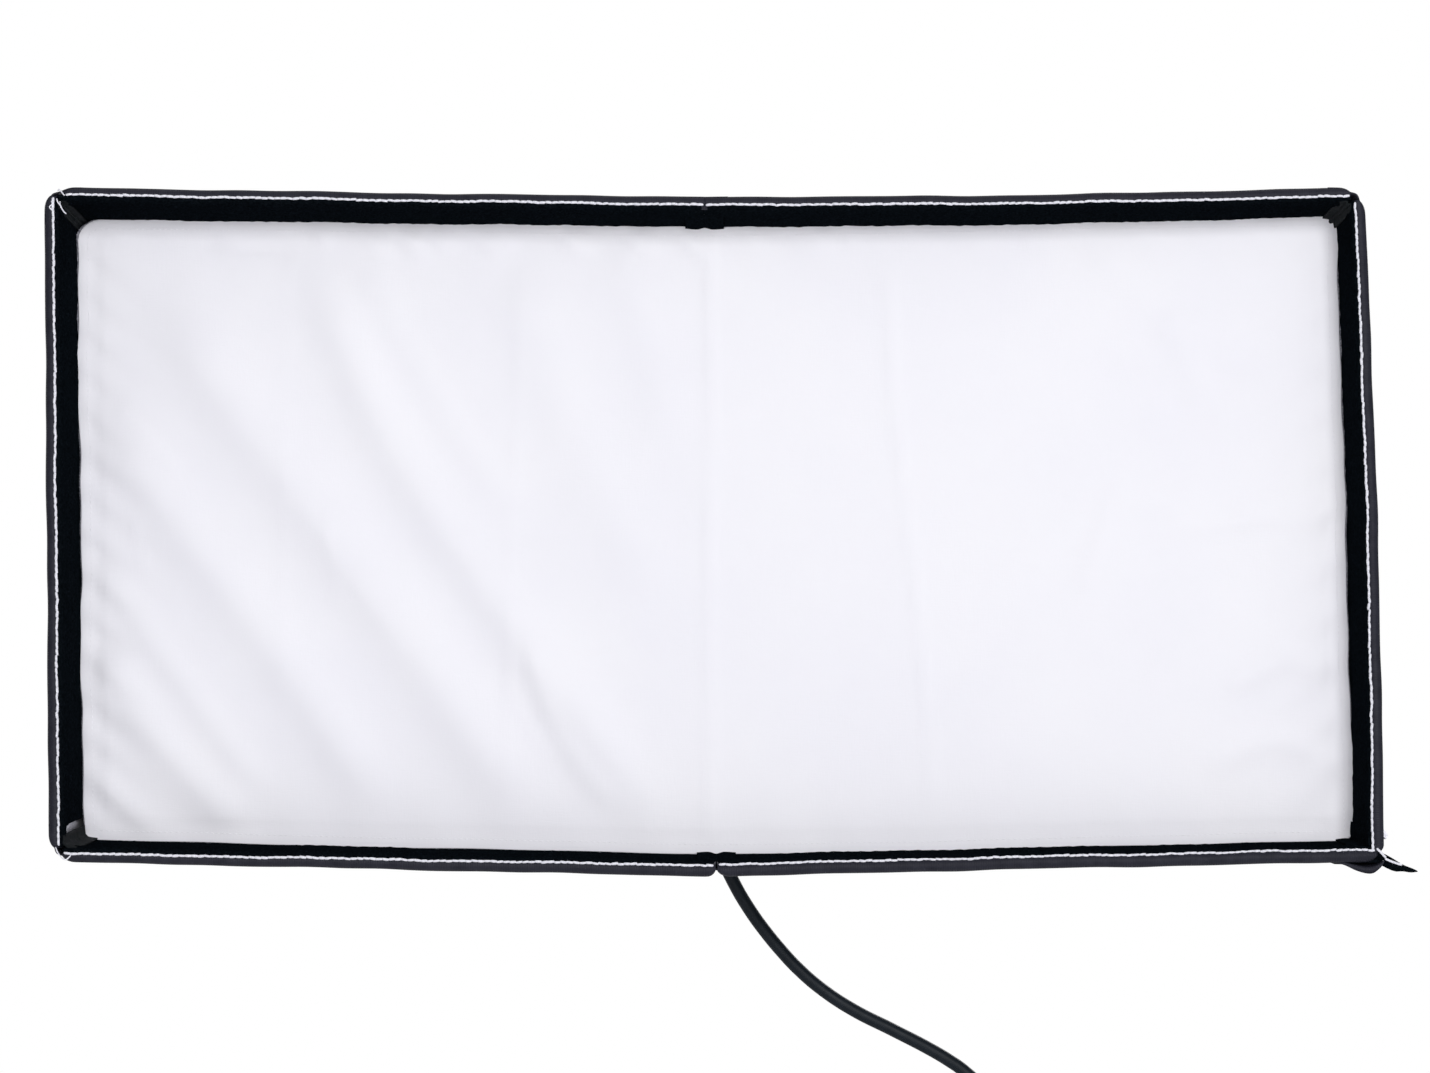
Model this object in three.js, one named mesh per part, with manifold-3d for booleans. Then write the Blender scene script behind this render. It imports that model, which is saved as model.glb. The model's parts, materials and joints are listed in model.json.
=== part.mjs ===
// Folding strip softbox for a flexible LED mat light, on its X frame and tilt bracket.
// Millimetres, +Z up, the diffuser faces -Y. The origin is the seat face at the blind end of the stand socket.
import * as THREE from 'three';
import { mergeVertices } from 'three/addons/utils/BufferGeometryUtils.js';
import Module from 'manifold-3d';

const wasm = await Module();
wasm.setup();

// ---- Driving dimensions ----
const rimWidth = 676;
const rimHeight = 345;
const wallDepth = 110;
const flareAngle = 8;
const diffuserRecess = 40;
const topSag = 5;
const bottomSag = 7.5;
const rack = 3;

const boardThickness = 3;
const bandThickness = 1.6;
const bandWidth = 45;
const tapeThickness = 1.1;
const tapeFold = 10;
const layerGap = 0.3;
const stripRadius = 0.9;
const stripClearance = 0.6;
const openCornerClearance = 7;
const wallCornerCut = 4;

const flapWidth = 18;
const flapHeight = 240;
const flapThickness = 1.2;
const closingFlapRoot = 26;
const closingFlapReach = 21;
const closingFlapAngle = 28;
const closingFlapDepth = 88;

const matOverhang = 4.3;
const coreInset = 2;
const backCoverThickness = 2;
const coreThickness = 3;
const ledSheetThickness = 1.4;
const borderWidth = 22;
const ringToMatGap = 2.2;

const clothThickness = 1.2;
const hookStripWidth = 20;
const hookStripThickness = 1;
const diffuserGap = 1;

const pivotHeight = 38;
const pivotToMat = 58;
const hubRadius = 30;
const hubThickness = 22;
const hubToMat = 2.5;
const rodRadius = 3;
const rodFit = 0.3;
const rodToMat = 8;
const rodStart = 12;
const rodTipInset = 26;
const socketFloor = 10;
const pocketLength = 34;
const pocketWall = 1.5;
const pocketSlack = 1.2;

const boltRadius = 4;
const boltFit = 0.3;
const lugWidth = 16;
const lugRadius = 9;
const lugPlate = 3.5;
const earThickness = 5;
const earGap = 0.5;
const earRadius = 12;
const yokeDepth = 24;
const yokeBase = 6;
const boltHeadRadius = 7.5;
const boltHeadThickness = 5;
const washerThickness = 1.5;
const washerRadius = 10;
const leverBossRadius = 10;
const leverThickness = 12;
const leverLength = 55;
const leverDrop = 30;

const spigotBore = 16.5;
const socketWall = 6.75;
const socketDepth = 42;
const socketCap = 10;

const screwRadius = 3;
const screwFit = 0.3;
const screwLength = 18;
const screwTipRetreat = 1.5;
const knobRadius = 7;
const knobDepth = 10;
const knobLength = 34;
const knobBarRadius = 4.5;

const cordDiameter = 7;
const glandLength = 28;
const connectorRadius = 8;
const connectorNeck = 5;
const connectorTaper = 16;
const connectorLength = 40;
const plugRadius = 6.5;
const plugLength = 16;
const couplingFit = 0.3;
const couplingRadius = 9.5;
const couplingLength = 18;

// ---- Places that follow from them ----
const flareSlope = Math.tan(THREE.MathUtils.degToRad(flareAngle));
const boardInner = bandThickness + layerGap;
const boardOuter = boardInner + boardThickness;
const tapeOuter = boardOuter + layerGap + tapeThickness;
const hingeHalfWidth = rimWidth / 2 - tapeOuter;
const hingeHalfHeight = rimHeight / 2 - tapeOuter;
const backHalfWidth = hingeHalfWidth - wallDepth * flareSlope;
const backHalfHeight = hingeHalfHeight - wallDepth * flareSlope;
const matWidth = 2 * (backHalfWidth + matOverhang);
const matHeight = 2 * (backHalfHeight + matOverhang);
const matBackY = -pivotToMat;
const coreBackY = matBackY - backCoverThickness - layerGap;
const sheetBackY = coreBackY - coreThickness - layerGap;
const matFrontY = sheetBackY - ledSheetThickness;
const ringBackY = matFrontY - ringToMatGap;
const rimY = ringBackY - wallDepth;
const rodY = matBackY + rodToMat;
const rodLength = Math.hypot(matWidth / 2, matHeight / 2) - rodTipInset - rodStart;
const rodAngle = Math.atan2(matHeight / 2 - rodTipInset * 0.85, matWidth / 2 - rodTipInset * 0.85);
const panelEndGap = stripRadius + stripClearance;
const socketRadius = spigotBore / 2 + socketWall;
const cordRadius = cordDiameter / 2;
const glandRadius = cordRadius + 2.4;
const glandTipRadius = cordRadius + 0.8;
const cordY = matBackY + layerGap + glandRadius;

// The cord's route as [x, distance behind its exit, distance below the softbox centre].
const cordRoute = [
  [4, 0, 147], [4, 0.2, 153], [4.6, 1.4, 161], [7, 3.2, 170.5], [13.1, 6, 183.9], [21.1, 10, 197.3],
  [28.7, 12.6, 207.9], [37.5, 14.8, 218.6], [47.6, 16.3, 229.3], [60.2, 17.4, 240], [76.6, 17.9, 250.7],
  [97.7, 18, 261.3], [118.2, 18, 271.9], [127.3, 18, 277.3], [135.6, 18, 283.1], [146, 18, 293.5],
  [154, 18, 308], [159, 18, 326], [161.5, 18, 348], [162, 18, 372], [162, 18, 395], [162, 18, 432],
];

const model = new THREE.Group();

const fabricBlack = { color: 0x1b1d24, roughness: 0.85, metalness: 0 };
const loopBlack = { color: 0x10131a, roughness: 0.95, metalness: 0 };
const tapeBlack = { color: 0x2a2b36, roughness: 0.7, metalness: 0 };
const clothWhite = { color: 0xececf4, roughness: 0.8, metalness: 0 };
const sheetYellow = { color: 0xe8dfc0, roughness: 0.5, metalness: 0 };
const rodBlack = { color: 0x17181b, roughness: 0.4, metalness: 0 };
const castBlack = { color: 0x202124, roughness: 0.55, metalness: 0.3 };
const steel = { color: 0xb4b7bb, roughness: 0.35, metalness: 0.9 };
const cordBlack = { color: 0x14181d, roughness: 0.6, metalness: 0 };

// ---- Solids ----
function addPart(name, geometry, finish) {
  const mesh = new THREE.Mesh(geometry, new THREE.MeshStandardMaterial(finish));
  mesh.name = name;
  model.add(mesh);
}

function toSolid(geometry) {
  const plain = geometry.clone();
  plain.deleteAttribute('normal');
  plain.deleteAttribute('uv');
  const merged = mergeVertices(plain, 1e-4);
  const vertProperties = new Float32Array(merged.attributes.position.array);
  const triVerts = new Uint32Array(merged.index.array);
  return new wasm.Manifold(new wasm.Mesh({ numProp: 3, vertProperties, triVerts }));
}

function toGeometry(solid) {
  const mesh = solid.getMesh();
  const geometry = new THREE.BufferGeometry();
  geometry.setAttribute('position', new THREE.BufferAttribute(new Float32Array(mesh.vertProperties), 3));
  geometry.setIndex(new THREE.BufferAttribute(new Uint32Array(mesh.triVerts), 1));
  return geometry;
}

function boxBetween(low, high) {
  const size = high.map((value, i) => value - low[i]);
  const centre = high.map((value, i) => (value + low[i]) / 2);
  return new THREE.BoxGeometry(...size).translate(...centre);
}

function cylinderBetween(from, to, radius, sides = 24, endRadius = radius) {
  const start = new THREE.Vector3(...from);
  const along = new THREE.Vector3(...to).sub(start);
  const geometry = new THREE.CylinderGeometry(endRadius, radius, along.length(), sides);
  geometry.translate(0, along.length() / 2, 0);
  geometry.applyQuaternion(new THREE.Quaternion().setFromUnitVectors(
    new THREE.Vector3(0, 1, 0), along.clone().normalize()));
  return geometry.translate(...start.toArray());
}

// Extrudes points of a local plane (x along right, y along up) by a thickness along their cross product.
function extrudeIn(points, right, up, origin, thickness) {
  const shape = new THREE.Shape(points.map(([x, y]) => new THREE.Vector2(x, y)));
  const geometry = new THREE.ExtrudeGeometry(shape, { depth: thickness, bevelEnabled: false });
  const out = new THREE.Vector3().crossVectors(right, up);
  const matrix = new THREE.Matrix4().makeBasis(right, up, out).setPosition(origin);
  return geometry.applyMatrix4(matrix);
}

// ---- Wall ring ----
// A hinge line runs along the inner face of the walls, from the rim back to the mat.
function hingeLine(side, level, sag) {
  const shift = -rack * level;
  const place = (halfWidth, halfHeight, y) => new THREE.Vector3(
    side * halfWidth + shift, y, pivotHeight + level * halfHeight - sag);
  return {
    front: place(hingeHalfWidth, hingeHalfHeight, rimY),
    back: place(backHalfWidth, backHalfHeight, ringBackY),
  };
}

const hinges = {
  top_left: hingeLine(-1, 1, 0),
  top_middle: hingeLine(0, 1, topSag),
  top_right: hingeLine(1, 1, 0),
  bottom_right: hingeLine(1, -1, 0),
  bottom_middle: hingeLine(0, -1, bottomSag),
  bottom_left: hingeLine(-1, -1, 0),
};

// Each panel runs clockwise, as seen from the front, from its first hinge line to its second.
const panels = {
  left: ['bottom_left', 'top_left'],
  top_left: ['top_left', 'top_middle'],
  top_right: ['top_middle', 'top_right'],
  right: ['top_right', 'bottom_right'],
  bottom_right: ['bottom_right', 'bottom_middle'],
  bottom_left: ['bottom_middle', 'bottom_left'],
};

// A panel's own frame: along the rim, back from the rim, and outward from its hinge lines.
function panelFrame(name) {
  const [first, second] = panels[name].map((hinge) => hinges[hinge]);
  const along = second.front.clone().sub(first.front).normalize();
  const span = first.front.distanceTo(second.front);
  const slant = first.back.clone().sub(first.front).normalize();
  const outward = new THREE.Vector3().crossVectors(along, slant).normalize();
  const backward = new THREE.Vector3().crossVectors(outward, along);
  const local = (point) => {
    const offset = point.clone().sub(first.front);
    return { s: offset.dot(along), u: offset.dot(backward) };
  };
  const firstBack = local(first.back);
  const secondBack = local(second.back);
  const depth = Math.min(firstBack.u, secondBack.u);
  return {
    origin: first.front, along, backward, outward, depth,
    startAt: (u) => firstBack.s * u / firstBack.u,
    endAt: (u) => span + (secondBack.s - span) * u / secondBack.u,
    startGap: name === 'bottom_right' ? openCornerClearance : panelEndGap,
    endGap: panelEndGap,
  };
}

// A flat layer of a panel from depth u0 to u1 and from n0 to n1 outward.
function panelLayer(frame, u0, u1, n0, n1, cut = 0) {
  const points = [
    [frame.startAt(u0) + frame.startGap, u0 + cut],
    [frame.startAt(u0) + frame.startGap + cut, u0],
    [frame.endAt(u0) - frame.endGap - cut, u0],
    [frame.endAt(u0) - frame.endGap, u0 + cut],
    [frame.endAt(u1) - frame.endGap, u1],
    [frame.startAt(u1) + frame.startGap, u1],
  ];
  const kept = cut > 0 ? points : points.filter((_, i) => i !== 0 && i !== 3);
  const origin = frame.origin.clone().addScaledVector(frame.outward, n0);
  return extrudeIn(kept, frame.along, frame.backward, origin, n1 - n0);
}

// Binding tape folded over the rim as a U, open towards the back.
function bindingTape(frame) {
  const web = -layerGap - tapeThickness;
  const profile = [
    [web, boardInner - layerGap - tapeThickness], [tapeFold, boardInner - layerGap - tapeThickness],
    [tapeFold, boardInner - layerGap], [-layerGap, boardInner - layerGap],
    [-layerGap, boardOuter + layerGap], [tapeFold, boardOuter + layerGap],
    [tapeFold, tapeOuter], [web, tapeOuter],
  ];
  const start = Math.max(frame.startAt(web), frame.startAt(tapeFold)) + frame.startGap + wallCornerCut;
  const end = Math.min(frame.endAt(web), frame.endAt(tapeFold)) - frame.endGap - wallCornerCut;
  const origin = frame.origin.clone().addScaledVector(frame.along, start);
  return extrudeIn(profile, frame.backward, frame.outward, origin, end - start);
}

function addPanel(name) {
  const frame = panelFrame(name);
  const bandStart = tapeFold + 2 * layerGap;
  addPart(`wall_${name}`, panelLayer(frame, 0, frame.depth, boardInner, boardOuter, wallCornerCut), fabricBlack);
  addPart(`loop_band_${name}`, panelLayer(frame, bandStart, bandStart + bandWidth, 0, bandThickness), loopBlack);
  addPart(`binding_${name}`, bindingTape(frame), tapeBlack);
}

function addHingeStrip(name) {
  const { front, back } = hinges[name];
  const inset = 2;
  const step = back.clone().sub(front).normalize();
  const from = front.clone().addScaledVector(step, inset);
  const to = back.clone().addScaledVector(step, -inset);
  addPart(`hinge_strip_${name}`, cylinderBetween(from.toArray(), to.toArray(), stripRadius, 8), fabricBlack);
}

// The closing flap lies on the outside of the lower right panel and sticks out past the open corner.
function addClosingFlap() {
  const frame = panelFrame('bottom_right');
  const angle = THREE.MathUtils.degToRad(closingFlapAngle);
  const low = tapeOuter + layerGap;
  const high = low + flapThickness;
  const reach = [-closingFlapReach * Math.cos(angle), closingFlapReach * Math.sin(angle)];
  const turn = [-flapThickness * Math.sin(angle), -flapThickness * Math.cos(angle)];
  const bend = frame.startGap - 4;
  const profile = [
    [closingFlapRoot, low], [bend, low], [bend + reach[0], low + reach[1]],
    [bend + reach[0] - turn[0], low + reach[1] - turn[1]], [bend, high], [closingFlapRoot, high],
  ];
  const backEnd = 6 + closingFlapDepth;
  const origin = frame.origin.clone().addScaledVector(frame.backward, backEnd)
    .addScaledVector(frame.along, frame.startAt(backEnd));
  addPart('closing_flap', extrudeIn(profile, frame.along, frame.outward, origin, closingFlapDepth), fabricBlack);
}

// Hook flaps run up the two end walls at the back and lie on the mat's loop border.
function addHookFlap(name, side) {
  const inner = side * (backHalfWidth - flapWidth);
  const outer = side * (backHalfWidth - layerGap - rack);
  const low = [Math.min(inner, outer), matFrontY - layerGap - flapThickness, pivotHeight - flapHeight / 2];
  const high = [Math.max(inner, outer), matFrontY - layerGap, pivotHeight + flapHeight / 2];
  addPart(`hook_flap_${name}`, boxBetween(low, high), fabricBlack);
}

// ---- Diffuser ----
// The ring's inner outline at a given depth, pulled in by a margin.
function ringOutline(depth, margin) {
  const share = depth / wallDepth;
  const corner = (name, side, level) => {
    const point = hinges[name].front.clone().lerp(hinges[name].back, share);
    return [point.x - side * margin, point.z - level * margin];
  };
  return [
    corner('bottom_left', -1, -1), corner('bottom_middle', 0, -1), corner('bottom_right', 1, -1),
    corner('top_right', 1, 1), corner('top_middle', 0, 1), corner('top_left', -1, 1),
  ];
}

function outlinePlate(outer, inner, frontY, thickness) {
  const shape = new THREE.Shape(outer.map(([x, z]) => new THREE.Vector2(x, z)));
  if (inner) {
    shape.holes.push(new THREE.Path(inner.map(([x, z]) => new THREE.Vector2(x, z))));
  }
  const geometry = new THREE.ExtrudeGeometry(shape, { depth: thickness, bevelEnabled: false });
  return geometry.rotateX(Math.PI / 2).translate(0, frontY + thickness, 0);
}

function addDiffuser() {
  const clothY = rimY + diffuserRecess;
  const stripY = clothY + clothThickness + layerGap;
  const outline = ringOutline(diffuserRecess, diffuserGap);
  const stripDepth = diffuserRecess + clothThickness + layerGap + hookStripThickness;
  const stripOuter = ringOutline(stripDepth, diffuserGap);
  const stripInner = ringOutline(stripDepth, diffuserGap + hookStripWidth);
  addPart('diffuser_cloth', outlinePlate(outline, null, clothY, clothThickness), clothWhite);
  addPart('diffuser_hook_tape', outlinePlate(stripOuter, stripInner, stripY, hookStripThickness), loopBlack);
}

// ---- LED mat ----
function matPlate(width, height, backY, thickness) {
  return boxBetween(
    [-width / 2, backY - thickness, pivotHeight - height / 2],
    [width / 2, backY, pivotHeight + height / 2]);
}

function addBorderStrip(name, xLow, xHigh, zLow, zHigh) {
  addPart(`mat_loop_strip_${name}`, boxBetween(
    [xLow, matFrontY, pivotHeight + zLow], [xHigh, sheetBackY, pivotHeight + zHigh]), loopBlack);
}

function addMat() {
  const halfWidth = matWidth / 2;
  const halfHeight = matHeight / 2;
  const innerX = halfWidth - borderWidth;
  const innerZ = halfHeight - borderWidth;
  addPart('mat_back_cover', matPlate(matWidth, matHeight, matBackY, backCoverThickness), fabricBlack);
  addPart('mat_core', matPlate(matWidth - 2 * coreInset, matHeight - 2 * coreInset, coreBackY,
    coreThickness), rodBlack);
  addPart('led_sheet', matPlate(2 * (innerX - layerGap), 2 * (innerZ - layerGap), sheetBackY,
    ledSheetThickness), sheetYellow);
  addBorderStrip('left', -halfWidth, -innerX, -halfHeight, halfHeight);
  addBorderStrip('right', innerX, halfWidth, -halfHeight, halfHeight);
  addBorderStrip('top', -innerX + layerGap, innerX - layerGap, innerZ, halfHeight);
  addBorderStrip('bottom', -innerX + layerGap, innerX - layerGap, -halfHeight, -innerZ);
}

// ---- X frame ----
const corners = { top_left: [-1, 1], top_right: [1, 1], bottom_left: [-1, -1], bottom_right: [1, -1] };

function rodPoint(side, level, distance) {
  return [side * distance * Math.cos(rodAngle), rodY, pivotHeight + level * distance * Math.sin(rodAngle)];
}

function addRod(name) {
  const [side, level] = corners[name];
  const from = rodPoint(side, level, rodStart);
  const to = rodPoint(side, level, rodStart + rodLength);
  addPart(`frame_rod_${name}`, cylinderBetween(from, to, rodRadius, 16), rodBlack);
}

// A pocket is a U-shaped sleeve, open towards the mat, over the tip of its rod.
function addCornerPocket(name) {
  const [side, level] = corners[name];
  const inside = rodRadius + pocketSlack;
  const outside = inside + pocketWall;
  const floor = -rodToMat + layerGap;
  const profile = [
    [-outside, floor], [-inside, floor], [-inside, inside], [inside, inside],
    [inside, floor], [outside, floor], [outside, outside], [-outside, outside],
  ];
  const start = rodStart + rodLength - pocketLength + 4;
  const out = new THREE.Vector3(side * Math.cos(rodAngle), 0, level * Math.sin(rodAngle));
  const back = new THREE.Vector3(0, 1, 0);
  const across = new THREE.Vector3().crossVectors(back, out);
  const origin = new THREE.Vector3(...rodPoint(side, level, start));
  addPart(`corner_pocket_${name}`, extrudeIn(profile, across, back, origin, pocketLength), fabricBlack);
}

const hubFrontY = matBackY + hubToMat;
const hubBackY = hubFrontY + hubThickness;

// The hub takes the inner ends of the four rods.
function addHub() {
  let hub = toSolid(cylinderBetween([0, hubFrontY, pivotHeight], [0, hubBackY, pivotHeight], hubRadius, 40));
  for (const [side, level] of Object.values(corners)) {
    const from = rodPoint(side, level, socketFloor);
    const to = rodPoint(side, level, 2 * hubRadius);
    hub = hub.subtract(toSolid(cylinderBetween(from, to, rodRadius + rodFit, 16)));
  }
  addPart('hub', toGeometry(hub), castBlack);
}

// The lug is screwed to the hub's back by its plate and reaches back to the tilt bolt.
function addLug() {
  const plateY = hubBackY + layerGap;
  const plate = cylinderBetween([0, plateY, pivotHeight], [0, plateY + lugPlate, pivotHeight],
    hubRadius - lugPlate, 40);
  const bar = boxBetween([-lugWidth / 2, plateY + lugPlate / 2, pivotHeight - lugRadius],
    [lugWidth / 2, 0, pivotHeight + lugRadius]);
  const end = cylinderBetween([-lugWidth / 2, 0, pivotHeight], [lugWidth / 2, 0, pivotHeight], lugRadius, 32);
  const bore = cylinderBetween([-lugWidth, 0, pivotHeight], [lugWidth, 0, pivotHeight], boltRadius + boltFit, 24);
  const lug = toSolid(plate).add(toSolid(bar)).add(toSolid(end)).subtract(toSolid(bore));
  addPart('tilt_lug', toGeometry(lug), castBlack);
}

// ---- Tilt bracket and stand socket ----
const earInnerX = lugWidth / 2 + earGap;
const earOuterX = earInnerX + earThickness;

function earSolid(side) {
  const low = Math.min(side * earInnerX, side * earOuterX);
  const high = Math.max(side * earInnerX, side * earOuterX);
  const baseZ = socketCap + layerGap;
  const plate = boxBetween([low, -earRadius, baseZ], [high, earRadius, pivotHeight]);
  const round = cylinderBetween([low, 0, pivotHeight], [high, 0, pivotHeight], earRadius, 32);
  return toSolid(plate).add(toSolid(round));
}

function addYoke() {
  const baseZ = socketCap + layerGap;
  const base = boxBetween([-earOuterX, -yokeDepth / 2, baseZ], [earOuterX, yokeDepth / 2, baseZ + yokeBase]);
  const bore = cylinderBetween([-2 * earOuterX, 0, pivotHeight], [2 * earOuterX, 0, pivotHeight],
    boltRadius + boltFit, 24);
  const yoke = toSolid(base).add(earSolid(-1)).add(earSolid(1)).subtract(toSolid(bore));
  addPart('tilt_yoke', toGeometry(yoke), castBlack);
}

function addSocket() {
  const body = cylinderBetween([0, 0, -socketDepth], [0, 0, socketCap], socketRadius, 40);
  const bore = cylinderBetween([0, 0, -socketDepth - 1], [0, 0, 0], spigotBore / 2, 32);
  const screwZ = -socketDepth / 2;
  const screwHole = cylinderBetween([0, 0, screwZ], [0, 2 * socketRadius, screwZ], screwRadius + screwFit, 20);
  const socket = toSolid(body).subtract(toSolid(bore)).subtract(toSolid(screwHole));
  addPart('stand_socket', toGeometry(socket), castBlack);
}

function addTiltBolt() {
  const headX = -earOuterX - layerGap;
  const washerX = earOuterX + layerGap;
  const leverX = washerX + washerThickness + layerGap;
  const shaftEnd = leverX + leverThickness + 2;
  const shaft = cylinderBetween([headX - 1, 0, pivotHeight], [shaftEnd, 0, pivotHeight], boltRadius, 24);
  const head = cylinderBetween([headX - boltHeadThickness, 0, pivotHeight], [headX, 0, pivotHeight],
    boltHeadRadius, 6);
  addPart('tilt_bolt', toGeometry(toSolid(shaft).add(toSolid(head))), steel);
  const washer = toSolid(cylinderBetween([washerX, 0, pivotHeight], [washerX + washerThickness, 0, pivotHeight],
    washerRadius, 32));
  const hole = toSolid(cylinderBetween([0, 0, pivotHeight], [2 * leverX, 0, pivotHeight],
    boltRadius + boltFit, 24));
  addPart('tilt_washer', toGeometry(washer.subtract(hole)), steel);
  addTiltLever(leverX, hole);
}

// The lever points back and down at rest, clear of everything that tilts.
function addTiltLever(leverX, hole) {
  const drop = THREE.MathUtils.degToRad(leverDrop);
  const middleX = leverX + leverThickness / 2;
  const boss = toSolid(cylinderBetween([leverX, 0, pivotHeight], [leverX + leverThickness, 0, pivotHeight],
    leverBossRadius, 32));
  const armEnd = [middleX + 5, leverLength * Math.cos(drop), pivotHeight - leverLength * Math.sin(drop)];
  const arm = toSolid(cylinderBetween([middleX, 0, pivotHeight], armEnd, 4.5, 16, 5.5));
  addPart('tilt_lever', toGeometry(boss.add(arm).subtract(hole)), castBlack);
}

function addClampKnob() {
  const screwZ = -socketDepth / 2;
  const tipY = spigotBore / 2 + screwTipRetreat;
  const rootY = tipY + screwLength;
  addPart('clamp_screw', cylinderBetween([0, tipY, screwZ], [0, rootY, screwZ], screwRadius, 20), steel);
  const knobY = rootY + layerGap;
  const barY = knobY + knobDepth - 1;
  const boss = toSolid(cylinderBetween([0, knobY, screwZ], [0, knobY + knobDepth, screwZ], knobRadius, 24));
  const bar = toSolid(cylinderBetween([0, barY, screwZ - knobLength / 2], [0, barY, screwZ + knobLength / 2],
    knobBarRadius, 16));
  addPart('clamp_knob', toGeometry(boss.add(bar)), castBlack);
}

// ---- Tail cord ----
function addCord() {
  const points = cordRoute.map(([x, behind, below]) => new THREE.Vector3(
    x, cordY + behind, pivotHeight - below));
  const path = new THREE.CatmullRomCurve3(points, false, 'centripetal');
  const section = new THREE.Shape().absarc(0, 0, cordRadius, 0, 2 * Math.PI);
  const steps = 44;
  const settings = { steps, curveSegments: 5, bevelEnabled: false, extrudePath: path };
  addPart('tail_cord', new THREE.ExtrudeGeometry(section, settings), cordBlack);
}

function addGland() {
  const [exitX, , exitBelow] = cordRoute[0];
  const exitZ = pivotHeight - exitBelow + layerGap;
  const gland = cylinderBetween([exitX, cordY, exitZ], [exitX, cordY, exitZ + glandLength],
    glandTipRadius, 24, glandRadius);
  addPart('tail_strain_relief', gland, rodBlack);
}

function addConnector() {
  const [endX, behind, endBelow] = cordRoute[cordRoute.length - 1];
  const topZ = pivotHeight - endBelow - layerGap;
  const at = (drop) => [endX, cordY + behind, topZ - drop];
  const shell = toSolid(cylinderBetween(at(0), at(connectorTaper), connectorNeck, 24, connectorRadius))
    .add(toSolid(cylinderBetween(at(connectorTaper - 1), at(connectorLength), connectorRadius, 24)));
  const plug = toSolid(cylinderBetween(at(connectorLength - 1), at(connectorLength + plugLength), plugRadius, 24));
  addPart('connector_body', toGeometry(shell.add(plug)), castBlack);
  const ringStart = connectorLength + layerGap;
  const sleeve = toSolid(cylinderBetween(at(ringStart), at(ringStart + couplingLength), couplingRadius, 32));
  const hole = toSolid(cylinderBetween(at(ringStart - 1), at(ringStart + couplingLength + 1),
    plugRadius + couplingFit, 24));
  addPart('coupling_ring', toGeometry(sleeve.subtract(hole)), steel);
}

Object.keys(panels).forEach(addPanel);
Object.keys(hinges).filter((name) => name !== 'bottom_right').forEach(addHingeStrip);
addClosingFlap();
addHookFlap('left', -1);
addHookFlap('right', 1);
addDiffuser();
addMat();
Object.keys(corners).forEach(addRod);
Object.keys(corners).forEach(addCornerPocket);
addHub();
addLug();
addYoke();
addSocket();
addTiltBolt();
addClampKnob();
addGland();
addCord();
addConnector();

export default model;
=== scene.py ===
import json
import math
import random

import bmesh
import bpy
import numpy as np
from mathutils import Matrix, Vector


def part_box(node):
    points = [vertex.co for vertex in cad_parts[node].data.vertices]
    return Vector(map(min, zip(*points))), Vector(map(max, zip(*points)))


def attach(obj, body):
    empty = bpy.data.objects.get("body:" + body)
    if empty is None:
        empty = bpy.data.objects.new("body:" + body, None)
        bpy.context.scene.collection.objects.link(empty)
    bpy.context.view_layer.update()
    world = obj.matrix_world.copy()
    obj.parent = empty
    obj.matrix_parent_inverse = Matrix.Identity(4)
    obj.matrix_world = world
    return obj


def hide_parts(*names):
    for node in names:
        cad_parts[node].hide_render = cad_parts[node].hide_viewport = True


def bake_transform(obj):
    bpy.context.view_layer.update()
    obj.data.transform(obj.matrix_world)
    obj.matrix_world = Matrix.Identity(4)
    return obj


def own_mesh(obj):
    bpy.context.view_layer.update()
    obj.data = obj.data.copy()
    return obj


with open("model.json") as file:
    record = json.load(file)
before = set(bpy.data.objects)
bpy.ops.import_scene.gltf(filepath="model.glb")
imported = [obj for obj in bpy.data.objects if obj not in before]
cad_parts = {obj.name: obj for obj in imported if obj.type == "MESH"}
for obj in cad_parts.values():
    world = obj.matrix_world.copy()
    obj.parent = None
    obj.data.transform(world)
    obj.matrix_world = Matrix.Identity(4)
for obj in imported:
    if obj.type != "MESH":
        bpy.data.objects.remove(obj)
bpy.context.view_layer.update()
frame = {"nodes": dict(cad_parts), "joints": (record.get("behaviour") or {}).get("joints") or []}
joints = {joint["name"]: joint for joint in frame["joints"]}
random.seed(11)

# ---- Sizes of the sewn ring, as in the CAD model ----
# On a wall, s runs along the rim, u back from it and n outward from the hinge lines.
WALL_DEPTH = 0.110
BAND_START = 0.0106
BAND_WIDTH = 0.045
BOARD_INNER = 0.0019
BOARD_OUTER = 0.0049
TAPE_OUTER = 0.0063
TAPE_FOLD = 0.010
TAPE_THICKNESS = 0.0011
TAPE_MIDDLE = 0.0024
RIM_CENTRE_U = 0.0022
RIM_CENTRE_N = 0.0029
RIM_REACH = 0.0036
RIM_HALF = 0.0034
BAND_SKIP = 0.0112
PANEL_GAP = 0.0015
CORNER_ROUNDING = 0.0068
CURL_SHARE = 0.14
STITCH_PITCH = 0.0032
OPEN_CORNER_GAP = 0.004

CAMERA_DISTANCE = 2.3
CAMERA_ELEVATION = -4.5
CAMERA_LENS = 113.96
CAMERA_SHIFT = (0.0032, -0.0100)
WORLD_SEEN = 1.0
WORLD_FILL = 0.24
FLOOR_LEVEL = -0.62
FLOOR_RADIUS = 7
# Each light's place, size and power. The first two aim at the rim, the others at the mat.
FRONT_LIGHTS = {"key": ((1.3, -4.2, 1.2), 1.1, 84), "fill": ((-0.5, -4.3, -0.25), 1.6, 56)}
OTHER_LIGHTS = {"top": ((0.0, 0.3, 3.2), 2.6, 26), "back_right": ((1.4, 2.8, 1.6), 1.6, 46),
                "back_left": ((-2.2, 2.2, 0.9), 1.6, 22)}


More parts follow.
